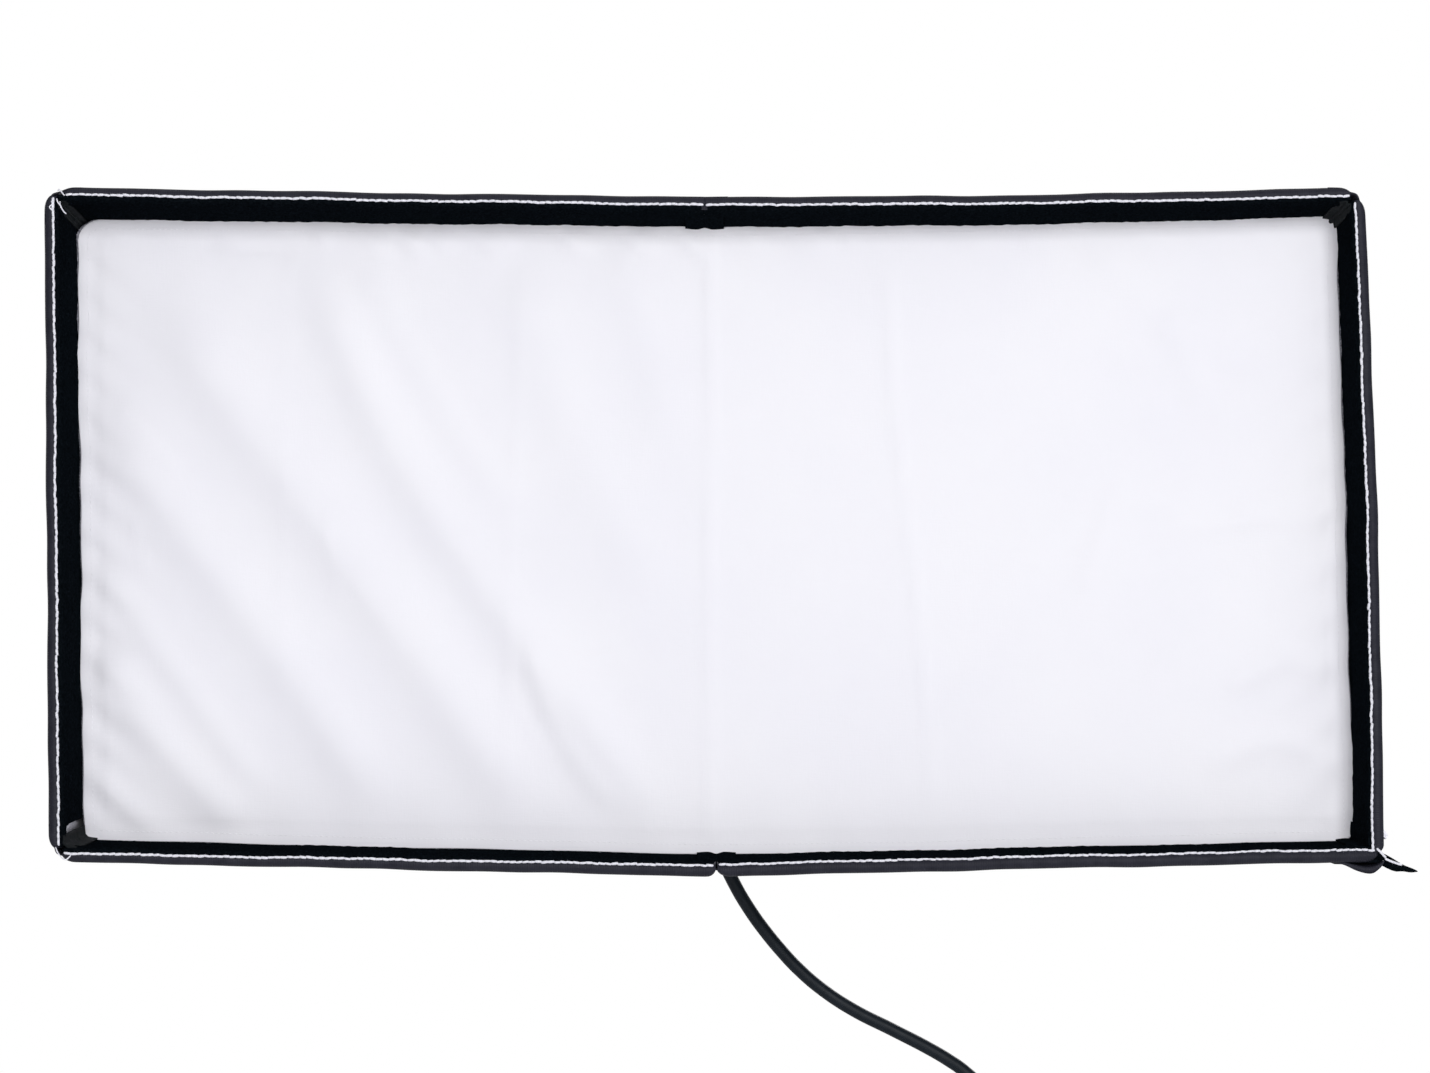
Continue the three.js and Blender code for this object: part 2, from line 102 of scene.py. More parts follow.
# ---- Mesh helpers ----
def make_mesh(name, vertices, faces, materials, smooth=True, material_of=None):
    mesh = bpy.data.meshes.new(name)
    mesh.from_pydata([tuple(map(float, v)) for v in vertices], [], [tuple(map(int, f)) for f in faces])
    mesh.validate()
    for material in materials:
        mesh.materials.append(material)
    mesh.polygons.foreach_set("use_smooth", [smooth] * len(mesh.polygons))
    if material_of is not None:
        mesh.polygons.foreach_set("material_index", material_of[:len(mesh.polygons)])
    piece = bpy.data.objects.new(name, mesh)
    bpy.context.scene.collection.objects.link(piece)
    return piece


def grid_faces(rows, columns, offset=0, flip=False):
    """Four-sided faces between the points of a grid."""
    faces = []
    for i in range(rows - 1):
        for j in range(columns - 1):
            a = offset + i * columns + j
            face = (a, a + 1, a + columns + 1, a + columns)
            faces.append(face[::-1] if flip else face)
    return faces


def shell_parts(outer, inner):
    """Vertices and faces of a closed sheet between two grids of the same shape."""
    rows, columns = outer.shape[:2]
    count = rows * columns
    vertices = np.concatenate([outer.reshape(-1, 3), inner.reshape(-1, 3)])
    faces = grid_faces(rows, columns) + grid_faces(rows, columns, count, flip=True)
    top = list(range(columns))
    right = [i * columns + columns - 1 for i in range(rows)]
    bottom = [(rows - 1) * columns + j for j in range(columns)][::-1]
    left = [i * columns for i in range(rows)][::-1]
    border = top + right[1:] + bottom[1:] + left[1:-1]
    for k, a in enumerate(border):
        b = border[(k + 1) % len(border)]
        faces.append((b, a, a + count, b + count))
    return vertices, faces, (rows - 1) * (columns - 1)


def shell(name, outer, inner, materials):
    """A closed sheet. With two materials, the second is on the inner grid's side."""
    vertices, faces, split = shell_parts(outer, inner)
    side = [0] * split + [len(materials) - 1] * split + [0] * (len(faces) - 2 * split)
    piece = make_mesh(name, vertices, faces, materials, material_of=side)
    outward_normals(piece)
    return piece


def outward_normals(piece):
    """Turns every face of a closed mesh outward."""
    work = bmesh.new()
    work.from_mesh(piece.data)
    bmesh.ops.recalc_face_normals(work, faces=work.faces)
    work.to_mesh(piece.data)
    work.free()


def join_parts(name, parts, materials):
    """One mesh from a list of (vertices, faces)."""
    vertices, faces = [], []
    for part_vertices, part_faces in parts:
        offset = len(vertices)
        vertices.extend(part_vertices)
        faces.extend(tuple(i + offset for i in face) for face in part_faces)
    return make_mesh(name, vertices, faces, materials)


def ring_points(centre, normal, side, radius, sides):
    angles = [2 * math.pi * k / sides for k in range(sides)]
    return [tuple(centre + (normal * math.cos(a) + side * math.sin(a)) * radius) for a in angles]


def tube_faces(count, sides):
    """Faces of a run of rings, with a cap at each end."""
    faces = []
    for i in range(count - 1):
        for k in range(sides):
            a, b = i * sides + k, i * sides + (k + 1) % sides
            faces.append((a, b, b + sides, a + sides))
    faces.append(tuple(range(sides))[::-1])
    faces.append(tuple((count - 1) * sides + k for k in range(sides)))
    return faces


def tube_parts(points, radii, sides=8):
    """A closed tube along points, with its own radius at each point."""
    points = [Vector(p) for p in points]
    normal = None
    vertices = []
    for i, point in enumerate(points):
        ahead = points[min(i + 1, len(points) - 1)] - points[max(i - 1, 0)]
        ahead.normalize()
        if normal is None:
            normal = ahead.orthogonal().normalized()
        normal = (normal - ahead * normal.dot(ahead)).normalized()
        vertices += ring_points(point, normal, ahead.cross(normal), radii[i], sides)
    return vertices, tube_faces(len(points), sides)


def lathe_parts(start, axis, profile, sides=32):
    """A closed turned solid: profile is a list of (distance along axis, radius)."""
    points = [Vector(start) + Vector(axis) * along for along, _ in profile]
    axis = Vector(axis).normalized()
    normal = axis.orthogonal().normalized()
    vertices = []
    for point, (_, radius) in zip(points, profile):
        vertices += ring_points(point, normal, axis.cross(normal), radius, sides)
    return vertices, tube_faces(len(points), sides)


def stitch_parts(start, end, rise, thin, thick, sides):
    """A short stitch, thickest in the middle, which is moved by rise."""
    middle = tuple((a + b) / 2 + r for a, b, r in zip(start, end, rise))
    return tube_parts([start, middle, end], [thin, thick, thin], sides)


def block_parts(near, far):
    """A solid between two outlines of four corners each."""
    faces = [(0, 1, 2, 3), (7, 6, 5, 4), (0, 4, 5, 1), (1, 5, 6, 2), (2, 6, 7, 3), (3, 7, 4, 0)]
    return near + far, faces


def smooth_curve(points, count):
    """Points along a Catmull-Rom curve through the given ones."""
    points = np.array(points, float)
    padded = np.vstack([2 * points[0] - points[1], points, 2 * points[-1] - points[-2]])
    out = []
    for x in np.linspace(0, len(points) - 1, count):
        i = min(int(x), len(points) - 2)
        t = x - i
        a, b, c, d = padded[i:i + 4]
        out.append(0.5 * (2 * b + (c - a) * t + (2 * a - 5 * b + 4 * c - d) * t ** 2
                          + (3 * b - a - 3 * c + d) * t ** 3))
    return np.array(out)


def stations(length, edge, middle, steps=5):
    """Places along a length, closer together over the rounded edge at both ends."""
    near = edge * (1 - np.cos(np.linspace(0, math.pi / 2, steps)))
    return np.concatenate([near, np.linspace(edge, length - edge, middle)[1:-1], length - near[::-1]])


def rounding(distance, radius, least=0.1):
    """1 away from an edge, falling to least as a quarter circle within the radius."""
    short = np.clip(1 - distance / radius, 0, 1)
    return np.maximum(np.sqrt(1 - short ** 2), least)


def finish_piece(piece, body, slot, *nodes):
    """Gives a piece its body and hides the nodes it stands for. The slot is not used."""
    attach(piece, body)
    if nodes:
        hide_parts(*nodes)
    return piece


def add_joined(name, parts, material, body, slot, *nodes):
    return finish_piece(join_parts(name, parts, [material]), body, slot, *nodes)


def unit(vector):
    return vector / np.linalg.norm(vector)


# ---- Materials ----
class Nodes:
    """A Principled material and short ways to add nodes to it."""

    def __init__(self, name, roughness, metallic=0.0, sheen=0.0, specular=0.5):
        self.material = bpy.data.materials.new(name)
        self.material.use_nodes = True
        self.tree = self.material.node_tree
        self.shader = self.tree.nodes["Principled BSDF"]
        self.shader.inputs["Roughness"].default_value = roughness
        self.shader.inputs["Metallic"].default_value = metallic
        self.shader.inputs["Specular IOR Level"].default_value = specular
        if sheen:
            self.shader.inputs["Sheen Weight"].default_value = sheen
            self.shader.inputs["Sheen Roughness"].default_value = 0.45
        self.place = self.tree.nodes.new("ShaderNodeTexCoord").outputs["Object"]

    def link(self, source, target):
        self.tree.links.new(source, target)

    def math(self, operation, first, second=None):
        node = self.tree.nodes.new("ShaderNodeMath")
        node.operation = operation
        for socket, value in zip(node.inputs, (first, second)):
            if isinstance(value, (int, float)):
                socket.default_value = value
            elif value is not None:
                self.link(value, socket)
        return node.outputs[0]

    def noise(self, scale, detail=3.0, stretch=None):
        node = self.tree.nodes.new("ShaderNodeTexNoise")
        node.inputs["Scale"].default_value = scale
        node.inputs["Detail"].default_value = detail
        place = self.place
        if stretch is not None:
            mapping = self.tree.nodes.new("ShaderNodeMapping")
            mapping.inputs["Scale"].default_value = stretch
            self.link(place, mapping.inputs["Vector"])
            place = mapping.outputs[0]
        self.link(place, node.inputs["Vector"])
        return node.outputs["Fac"]

    def weave(self, pitch):
        """Over-and-under threads of a plain weave, on any surface square to an axis."""
        split = self.tree.nodes.new("ShaderNodeSeparateXYZ")
        self.link(self.place, split.inputs[0])
        waves = [self.math("SINE", self.math("MULTIPLY", out, 2 * math.pi / pitch)) for out in split.outputs]
        pairs = [self.math("MULTIPLY", waves[i], waves[(i + 1) % 3]) for i in range(3)]
        return self.math("ADD", self.math("ADD", pairs[0], pairs[1]), pairs[2])

    def ribs(self, pitch, axis):
        split = self.tree.nodes.new("ShaderNodeSeparateXYZ")
        self.link(self.place, split.inputs[0])
        return self.math("SINE", self.math("MULTIPLY", split.outputs[axis], 2 * math.pi / pitch))

    def colour(self, factor, low, high, start=0.3, end=0.7):
        ramp = self.tree.nodes.new("ShaderNodeValToRGB")
        ramp.color_ramp.elements[0].position = start
        ramp.color_ramp.elements[1].position = end
        ramp.color_ramp.elements[0].color = (*low, 1)
        ramp.color_ramp.elements[1].color = (*high, 1)
        self.link(factor, ramp.inputs[0])
        self.link(ramp.outputs[0], self.shader.inputs["Base Color"])

    def bump(self, *heights):
        """Bump from pairs of (height, distance in metres)."""
        normal = None
        for height, distance in heights:
            node = self.tree.nodes.new("ShaderNodeBump")
            node.inputs["Distance"].default_value = distance
            node.inputs["Strength"].default_value = 1.0
            self.link(height, node.inputs["Height"])
            if normal is not None:
                self.link(normal, node.inputs["Normal"])
            normal = node.outputs[0]
        self.link(normal, self.shader.inputs["Normal"])

    def rough(self, factor, low, high):
        span = self.math("MULTIPLY", factor, high - low)
        self.link(self.math("ADD", span, low), self.shader.inputs["Roughness"])


def oxford_cloth():
    n = Nodes("wall_oxford", 0.62, specular=0.22)
    n.colour(n.noise(60, 5), (0.012, 0.012, 0.018), (0.022, 0.022, 0.031))
    n.bump((n.weave(0.0011), 0.00012), (n.noise(45, 2), 0.0012))
    return n.material


def gusset_cloth():
    n = Nodes("gusset_cloth", 0.8, specular=0.1)
    n.colour(n.noise(90, 4), (0.0045, 0.0065, 0.0075), (0.013, 0.0155, 0.0175))
    n.bump((n.noise(320, 3), 0.0004))
    return n.material


def silver_lining():
    n = Nodes("silver_lining", 0.34, metallic=0.85)
    n.colour(n.noise(90, 4), (0.55, 0.55, 0.6), (0.78, 0.78, 0.82))
    n.bump((n.weave(0.0009), 0.00005), (n.noise(70, 5), 0.0011))
    return n.material


def loop_pile():
    n = Nodes("loop_pile", 1.0, specular=0.0)
    n.shader.inputs["IOR"].default_value = 1.0
    n.colour(n.noise(900, 3), (0.0016, 0.0026, 0.0036), (0.007, 0.0098, 0.0135), 0.35, 0.75)
    n.bump((n.noise(2600, 2), 0.0005), (n.noise(260, 3), 0.0008))
    return n.material


def grosgrain_tape(axis):
    n = Nodes(f"binding_grosgrain_{'xyz'[axis]}", 0.55, specular=0.2)
    n.colour(n.noise(140, 4), (0.0115, 0.012, 0.0205), (0.0205, 0.021, 0.032))
    n.bump((n.ribs(0.0012, axis), 0.00006), (n.noise(120, 3), 0.0004))
    return n.material


def sewing_thread():
    n = Nodes("white_thread", 0.6, sheen=0.2)
    n.colour(n.noise(1500, 2), (0.72, 0.72, 0.82), (0.92, 0.92, 0.98))
    n.bump((n.noise(3000, 2, (1, 3, 1)), 0.00015))
    return n.material


def diffuser_nylon():
    n = Nodes("diffuser_nylon", 0.5, specular=0.45)
    n.colour(n.noise(9, 3), (0.815, 0.81, 0.875), (0.84, 0.835, 0.89), 0.35, 0.65)
    n.bump((n.noise(1500, 1, (1, 1, 0.12)), 0.00003), (n.noise(1500, 1, (0.12, 1, 1)), 0.00003),
           (n.noise(60, 3), 0.00015))
    return n.material


def hook_tape():
    n = Nodes("hook_tape", 0.55, sheen=0.1)
    n.colour(n.noise(1200, 2), (0.14, 0.14, 0.18), (0.42, 0.42, 0.48), 0.4, 0.62)
    n.bump((n.noise(2200, 1), 0.0006))
    return n.material


def mat_cloth():
    n = Nodes("mat_coated_cloth", 0.52, sheen=0.1)
    n.colour(n.noise(50, 5), (0.012, 0.012, 0.016), (0.026, 0.026, 0.031))
    n.bump((n.weave(0.0014), 0.00013), (n.noise(30, 2), 0.001))
    return n.material


def led_board():
    n = Nodes("led_flexible_board", 0.45)
    n.colour(n.noise(30, 3), (0.80, 0.79, 0.76), (0.88, 0.87, 0.84))
    n.bump((n.noise(350, 2), 0.0001))
    return n.material


def led_phosphor():
    n = Nodes("led_phosphor", 0.3)
    n.colour(n.noise(700, 2), (0.78, 0.55, 0.12), (0.9, 0.68, 0.2))
    n.bump((n.noise(900, 1), 0.0001))
    return n.material


def copper_trace():
    n = Nodes("tinned_trace", 0.4, metallic=0.6)
    n.colour(n.noise(400, 2), (0.52, 0.50, 0.44), (0.66, 0.64, 0.58))
    n.bump((n.noise(900, 1), 0.00005))
    return n.material


def glass_fibre():
    n = Nodes("glass_fibre_rod", 0.35)
    n.colour(n.noise(500, 4), (0.012, 0.012, 0.014), (0.03, 0.03, 0.034))
    n.bump((n.noise(1400, 3), 0.00006))
    n.shader.inputs["Coat Weight"].default_value = 0.3
    return n.material


def cast_paint():
    n = Nodes("cast_black_paint", 0.5, metallic=0.1)
    n.colour(n.noise(220, 4), (0.016, 0.016, 0.018), (0.034, 0.034, 0.037))
    n.bump((n.noise(1500, 3), 0.00016))
    n.rough(n.noise(90, 3), 0.38, 0.62)
    return n.material


def plain_steel():
    n = Nodes("plain_steel", 0.3, metallic=1.0)
    n.colour(n.noise(300, 3), (0.48, 0.49, 0.51), (0.62, 0.63, 0.65))
    n.bump((n.noise(2500, 2), 0.00003))
    n.rough(n.noise(400, 4), 0.22, 0.45)
    return n.material


def grained_nylon():
    n = Nodes("grained_nylon", 0.55)
    n.colour(n.noise(300, 4), (0.012, 0.012, 0.014), (0.024, 0.024, 0.027))
    n.bump((n.noise(1100, 4), 0.0002))
    return n.material


def cord_rubber():
    n = Nodes("cord_rubber", 0.5, specular=0.2)
    n.colour(n.noise(160, 4), (0.003, 0.0065, 0.011), (0.0065, 0.011, 0.017))
    n.bump((n.noise(500, 2), 0.00005))
    n.rough(n.noise(60, 3), 0.4, 0.6)
    return n.material


OXFORD = oxford_cloth()
GUSSET = gusset_cloth()
SILVER = silver_lining()
PILE = loop_pile()
TAPE = {"x": grosgrain_tape(0), "z": grosgrain_tape(2)}
THREAD = sewing_thread()
NYLON = diffuser_nylon()
HOOK = hook_tape()
MAT_CLOTH = mat_cloth()
LED_BOARD = led_board()
LED_PHOSPHOR = led_phosphor()
TRACE = copper_trace()
ROD = glass_fibre()
CAST = cast_paint()
STEEL = plain_steel()
GRAINED = grained_nylon()
RUBBER = cord_rubber()


# ---- Camera, floor and light ----
hub_low, hub_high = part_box("hub")
centre_z = (hub_low.z + hub_high.z) / 2
rim_y = joints["top_middle_fold"]["pos_m"][1]


def add_camera():
    """A long lens that looks up slightly at the middle of the rim."""
    data = bpy.data.cameras.new("camera")
    camera = bpy.data.objects.new("camera", data)
    bpy.context.scene.collection.objects.link(camera)
    lift = math.radians(CAMERA_ELEVATION)
    target = Vector((0, rim_y, centre_z))
    away = Vector((0, -math.cos(lift), math.sin(lift)))
    camera.location = target + away * CAMERA_DISTANCE
    camera.rotation_euler = (-away).to_track_quat("-Z", "Y").to_euler()
    data.lens = CAMERA_LENS
    data.sensor_width = 36
    data.shift_x, data.shift_y = CAMERA_SHIFT
    data.clip_end = 50
    bpy.context.scene.camera = camera


def add_area_light(name, place, target, size, power):
    data = bpy.data.lights.new(name, "AREA")
    data.energy = power
    data.size = size
    light = bpy.data.objects.new(name, data)
    bpy.context.scene.collection.objects.link(light)
    light.location = place
    light.rotation_euler = (Vector(target) - Vector(place)).to_track_quat("-Z", "Y").to_euler()


def add_world():
    """White to the camera, and dimmer as a light on the object."""
    world = bpy.data.worlds.new("studio_white")
    world.use_nodes = True
    tree = world.node_tree
    seen, fill = tree.nodes["Background"], tree.nodes.new("ShaderNodeBackground")
    for node, strength in ((seen, WORLD_SEEN), (fill, WORLD_FILL)):
        node.inputs["Color"].default_value = (1, 1, 1, 1)
        node.inputs["Strength"].default_value = strength
    path = tree.nodes.new("ShaderNodeLightPath")
    mix = tree.nodes.new("ShaderNodeMixShader")
    tree.links.new(path.outputs["Is Camera Ray"], mix.inputs[0])
    tree.links.new(fill.outputs[0], mix.inputs[1])
    tree.links.new(seen.outputs[0], mix.inputs[2])
    tree.links.new(mix.outputs[0], tree.nodes["World Output"].inputs[0])
    bpy.context.scene.world = world


def add_floor():
    """A wide pale disc below the object, outside its own pieces."""
    sides = 96
    ring = ring_points(Vector((0, 0, FLOOR_LEVEL)), Vector((1, 0, 0)), Vector((0, 1, 0)), FLOOR_RADIUS, sides)
    n = Nodes("pale_floor", 0.7)
    n.colour(n.noise(6, 3), (0.80, 0.80, 0.81), (0.84, 0.84, 0.85))
    n.bump((n.noise(200, 2), 0.0003))
    floor = make_mesh("floor", ring, [tuple(range(sides))], [n.material])


add_camera()
bpy.context.scene.view_settings.view_transform = "Standard"


# ---- Tail cord ----
CORD_DIAMETER = 0.007
CORD_START = Vector(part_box("tail_strain_relief")[0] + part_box("tail_strain_relief")[1]) / 2
CORD_ROUTE = [
    (0.0040, 0.0000, 0.1470), (0.0040, 0.0002, 0.1530), (0.0046, 0.0014, 0.1610), (0.0070, 0.0032, 0.1705),
    (0.0131, 0.0060, 0.1839), (0.0211, 0.0100, 0.1973), (0.0287, 0.0126, 0.2079), (0.0375, 0.0148, 0.2186),
    (0.0476, 0.0163, 0.2293), (0.0602, 0.0174, 0.2400), (0.0766, 0.0179, 0.2507), (0.0977, 0.0180, 0.2613),
    (0.1182, 0.0180, 0.2719), (0.1273, 0.0180, 0.2773), (0.1356, 0.0180, 0.2831), (0.1460, 0.0180, 0.2935),
    (0.1540, 0.0180, 0.3080), (0.1590, 0.0180, 0.3260), (0.1615, 0.0180, 0.3480), (0.1620, 0.0180, 0.3720),
    (0.1620, 0.0180, 0.3950), (0.1620, 0.0180, 0.4320),
]


def add_cord():
    """The tail cable as a bevelled curve through its route."""
    data = bpy.data.curves.new("tail_cable", "CURVE")
    data.dimensions = "3D"
    data.bevel_depth = CORD_DIAMETER / 2
    data.bevel_resolution = 5
    data.resolution_u = 10
    data.use_fill_caps = True
    spline = data.splines.new("BEZIER")
    spline.bezier_points.add(len(CORD_ROUTE) - 1)
    places = [(x, CORD_START.y + behind, centre_z - below) for x, behind, below in CORD_ROUTE]
    for point, place in zip(spline.bezier_points, places):
        point.co = place
        point.handle_left_type = "AUTO"
        point.handle_right_type = "AUTO"
    cable = bpy.data.objects.new("tail_cable", data)
    bpy.context.scene.collection.objects.link(cable)
    data.materials.append(RUBBER)
    finish_piece(cable, "head", "cord_jacket", "tail_cord")
    boot = add_strain_relief(places[0])


def add_strain_relief(tip):
    """A tapered rubber boot with flexing grooves, its narrow end at the tip."""
    low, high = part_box("tail_strain_relief")
    length = high.z - low.z
    profile = [(0.0, 0.0037), (0.0004, 0.0043)]
    for k in range(6):
        along = 0.0015 + k * 0.0029
        radius = 0.0043 + 0.00016 * k
        profile += [(along, radius), (along + 0.0004, radius - 0.0007), (along + 0.0012, radius - 0.0007),
                    (along + 0.0016, radius)]
    profile += [(length - 0.007, 0.0056), (length - 0.0065, 0.0059), (length - 0.0006, 0.0059),
                (length, 0.0053)]
    boot = lathe_parts((tip[0], tip[1], low.z), (0, 0, 1), profile)
    return add_joined("tail_boot", [boot], RUBBER, "head", "cord_jacket", "tail_strain_relief")


add_cord()
add_world()
add_floor()
for light_name, (light_place, light_size, light_power) in FRONT_LIGHTS.items():
    add_area_light(light_name, light_place, (0, rim_y, centre_z), light_size, light_power)
for light_name, (light_place, light_size, light_power) in OTHER_LIGHTS.items():
    add_area_light(light_name, light_place, (0, 0, centre_z), light_size, light_power)


# ---- Panels of the ring ----
def hinge_line(side, level):
    """Front and back ends of the hinge line at a corner (side -1 or 1) or a middle fold (side 0)."""
    name = {(-1, 1): "ring_fold", (0, 1): "top_middle_fold", (1, 1): "top_right_fold",
            (-1, -1): "bottom_left_fold", (0, -1): "bottom_middle_fold"}.get((side, level))
    if name is None:
        mirrored, _ = hinge_line(-side, level)
        middle, _ = hinge_line(0, level)
        front = np.array([2 * middle[0] - mirrored[0], mirrored[1], mirrored[2]])
        axis = np.array(joints["bottom_left_fold"]["axis"]) * np.array([-1, 1, 1])
    else:
        front = np.array(joints[name]["pos_m"], float)
        axis = np.array(joints[name]["axis"], float)
    back = front + axis * (WALL_DEPTH / axis[1])
    return front, back


HINGES = {
    "top_left": hinge_line(-1, 1), "top_middle": hinge_line(0, 1), "top_right": hinge_line(1, 1),
    "bottom_right": hinge_line(1, -1), "bottom_middle": hinge_line(0, -1), "bottom_left": hinge_line(-1, -1),
}
PANEL_ENDS = {
    "left": ("bottom_left", "top_left"), "top_left": ("top_left", "top_middle"),
    "top_right": ("top_middle", "top_right"), "right": ("top_right", "bottom_right"),
    "bottom_right": ("bottom_right", "bottom_middle"), "bottom_left": ("bottom_middle", "bottom_left"),
}
BODY = {name: name for name in PANEL_ENDS} | {"left": "left_wall", "right": "right_wall"}
# How far each wall bows outward in its middle.
BOW = {"left": 0.0, "right": 0.0017, "top_left": -0.0004, "top_right": -0.0015, "bottom_left": 0.0,
       "bottom_right": -0.0003}
# How far the stitches run inside the tape's outer face, at each wall's start and end.
STITCH_INSET = {"left": (0.0058, 0.0054), "top_left": (0.0047, 0.0050), "top_right": (0.0050, 0.0054),
                "right": (0.0058, 0.0063), "bottom_right": (0.0066, 0.0064), "bottom_left": (0.0061, 0.0049)}


class Panel:
    """A wall panel's own frame: s along the rim, u back from the rim, n outward from the hinge lines."""

    def __init__(self, name):
        first, second = (HINGES[end] for end in PANEL_ENDS[name])
        self.name = name
        self.origin = first[0]
        self.along = unit(second[0] - first[0])
        self.outward = unit(np.cross(self.along, first[1] - first[0]))
        self.backward = np.cross(self.outward, self.along)
        self.span = np.linalg.norm(second[0] - first[0])
        self.start_slope = self.slope(first[1], 0)
        self.end_slope = self.slope(second[1], self.span)
        self.depth = WALL_DEPTH / max(abs(self.backward[1]), 0.5)
        self.phase = sorted(PANEL_ENDS).index(name) * 1.7
        self.vertical = name in ("left", "right")

    def slope(self, back, start):
        offset = back - self.origin
        return (offset @ self.along - start) / (offset @ self.backward)

    def ends(self, u):
        return self.start_slope * u, self.span + self.end_slope * u

    def bend(self, s):
        t = np.clip(s / self.span, 0, 1)
        wave = 0.00022 * np.sin(t * 19 + self.phase) + 0.00014 * np.sin(t * 47 + 2 * self.phase)
        return BOW[self.name] * np.sin(math.pi * t) + wave * np.sin(math.pi * t) ** 0.5

    def at(self, s, u, n):
        s, u, n = np.broadcast_arrays(s, u, n)
        n = n + self.bend(s)
        return (self.origin + s[..., None] * self.along + u[..., None] * self.backward
                + n[..., None] * self.outward)


PANELS = {name: Panel(name) for name in PANEL_ENDS}


def corner_round(panel, from_start, from_end):
    """How much of its thickness a panel's outside keeps near its ends: all of it at the top middle fold."""
    first, second = PANEL_ENDS[panel.name]
    start = {"top_middle": 0.0006, "bottom_middle": 0.0045}.get(first, CORNER_ROUNDING)
    end = {"top_middle": 0.0006, "bottom_right": 0.0040}.get(second, CORNER_ROUNDING)
    return np.minimum(rounding(from_start, start), rounding(from_end, end))


def add_wall(name):
    """Stiff board in coated cloth, black outside and silver inside."""
    panel = PANELS[name]
    start_gap = OPEN_CORNER_GAP if name == "bottom_right" else PANEL_GAP
    rim = 0.0015
    u = stations(panel.depth, rim, 14, 4)
    t = stations(1.0, 0.0072 / panel.span, 60, 6)
    grid_t, grid_u = np.meshgrid(t, u, indexing="ij")
    low, high = panel.ends(grid_u)
    low, high = low + start_gap, high - PANEL_GAP
    s = low + (high - low) * grid_t
    edge = np.minimum(rounding(grid_u, rim, 0.35), rounding(panel.depth - grid_u, rim, 0.35))
    outside = corner_round(panel, s - low, high - s) * edge
    puff = 0.00035 * np.sin(grid_u / panel.depth * math.pi) * (1 + 0.5 * np.sin(s * 90 + grid_u * 40))
    middle = BOARD_INNER + 0.0008
    outer = panel.at(s, grid_u, middle + (BOARD_OUTER - middle) * outside + puff * outside)
    inner = panel.at(s, grid_u, middle - 0.0008 * edge)
    piece = shell(f"wall_cloth_{name}", outer, inner, [OXFORD, SILVER])
    finish_piece(piece, BODY[name], "wall_fabric", f"wall_{name}")


def stitch_height(panel, s):
    """How far outward the stitch line runs, at a place along the rim."""
    low, high = panel.ends(0.0)
    inset_start, inset_end = STITCH_INSET[panel.name]
    keep = corner_round(panel, s - low, high - s)
    outside = TAPE_MIDDLE + (TAPE_OUTER - TAPE_MIDDLE) * keep
    inset = (inset_start + (inset_end - inset_start) * np.clip(s / panel.span, 0, 1)) * (0.35 + 0.65 * keep)
    return np.maximum(outside - inset, -0.0004)


def rim_front(n):
    """How far back the tape's rounded front lies at a height outward from the hinge lines."""
    drop = np.clip((n - RIM_CENTRE_N) / RIM_HALF, -0.98, 0.98)
    return RIM_CENTRE_U - RIM_REACH * np.sqrt(1 - drop * drop)


def add_loop_band(name):
    """Soft loop strip that the diffuser sticks to, its front edge sewn under the stitches on the rim."""
    panel = PANELS[name]
    start_gap = 0.0010 if PANEL_ENDS[name][0] == "bottom_right" else PANEL_GAP
    back = BAND_START + BAND_WIDTH
    t = stations(1.0, 0.0015 / panel.span, 120, 3)
    flat_share = 1 - CURL_SHARE
    w = np.concatenate([np.linspace(0, CURL_SHARE, 9)[:-1],
                        stations(flat_share, 0.0008 / 0.055, 16, 3) + CURL_SHARE])
    grid_t, grid_w = np.meshgrid(t, w, indexing="ij")
    low, high = panel.ends(0.0)
    rim_s = low + start_gap + (high - PANEL_GAP - low - start_gap) * grid_t
    n_stitch = stitch_height(panel, rim_s) - 0.0004
    on_curl = grid_w <= CURL_SHARE
    curl = np.clip(grid_w / CURL_SHARE, 0, 1)
    fold_n = np.minimum(n_stitch - 0.0004, -0.0013)
    curl_n = n_stitch + (fold_n - n_stitch) * np.sin(curl * math.pi / 2) ** 1.3
    curl_u = rim_front(n_stitch) - 0.0006 + (0.0046 - rim_front(n_stitch)) * (1 - np.cos(curl * math.pi / 2))
    run = np.clip((grid_w - CURL_SHARE) / flat_share, 0, 1)
    u = np.where(on_curl, curl_u, 0.0040 + (back - 0.0040) * run)
    n = np.where(on_curl, curl_n, fold_n * (1 - np.clip((u - 0.0108) / 0.005, 0, 1)))
    ends = panel.ends(u)
    band_start = np.where(u > 0.006, BAND_SKIP if name == "left" else start_gap, start_gap)
    s = ends[0] + band_start + (ends[1] - PANEL_GAP - ends[0] - band_start) * grid_t
    edge = rounding(back - u, 0.0008, 0.15)
    rough = 0.00013 * np.sin(s * 610 + u * 900) + 0.00011 * np.sin(s * 1430 - u * 1700)
    lift = np.where(on_curl, 0.0, 1.0)
    inner = panel.at(s, u, n + 0.0012 * (1 - edge) * lift + rough)
    outer = panel.at(s, u + 0.0010 * (1 - lift) * (1 - curl), n + 0.0007 + 0.0006 * lift)
    piece = shell(f"loop_pile_{name}", inner, outer, [PILE])
    finish_piece(piece, BODY[name], "loop_band", f"loop_band_{name}")


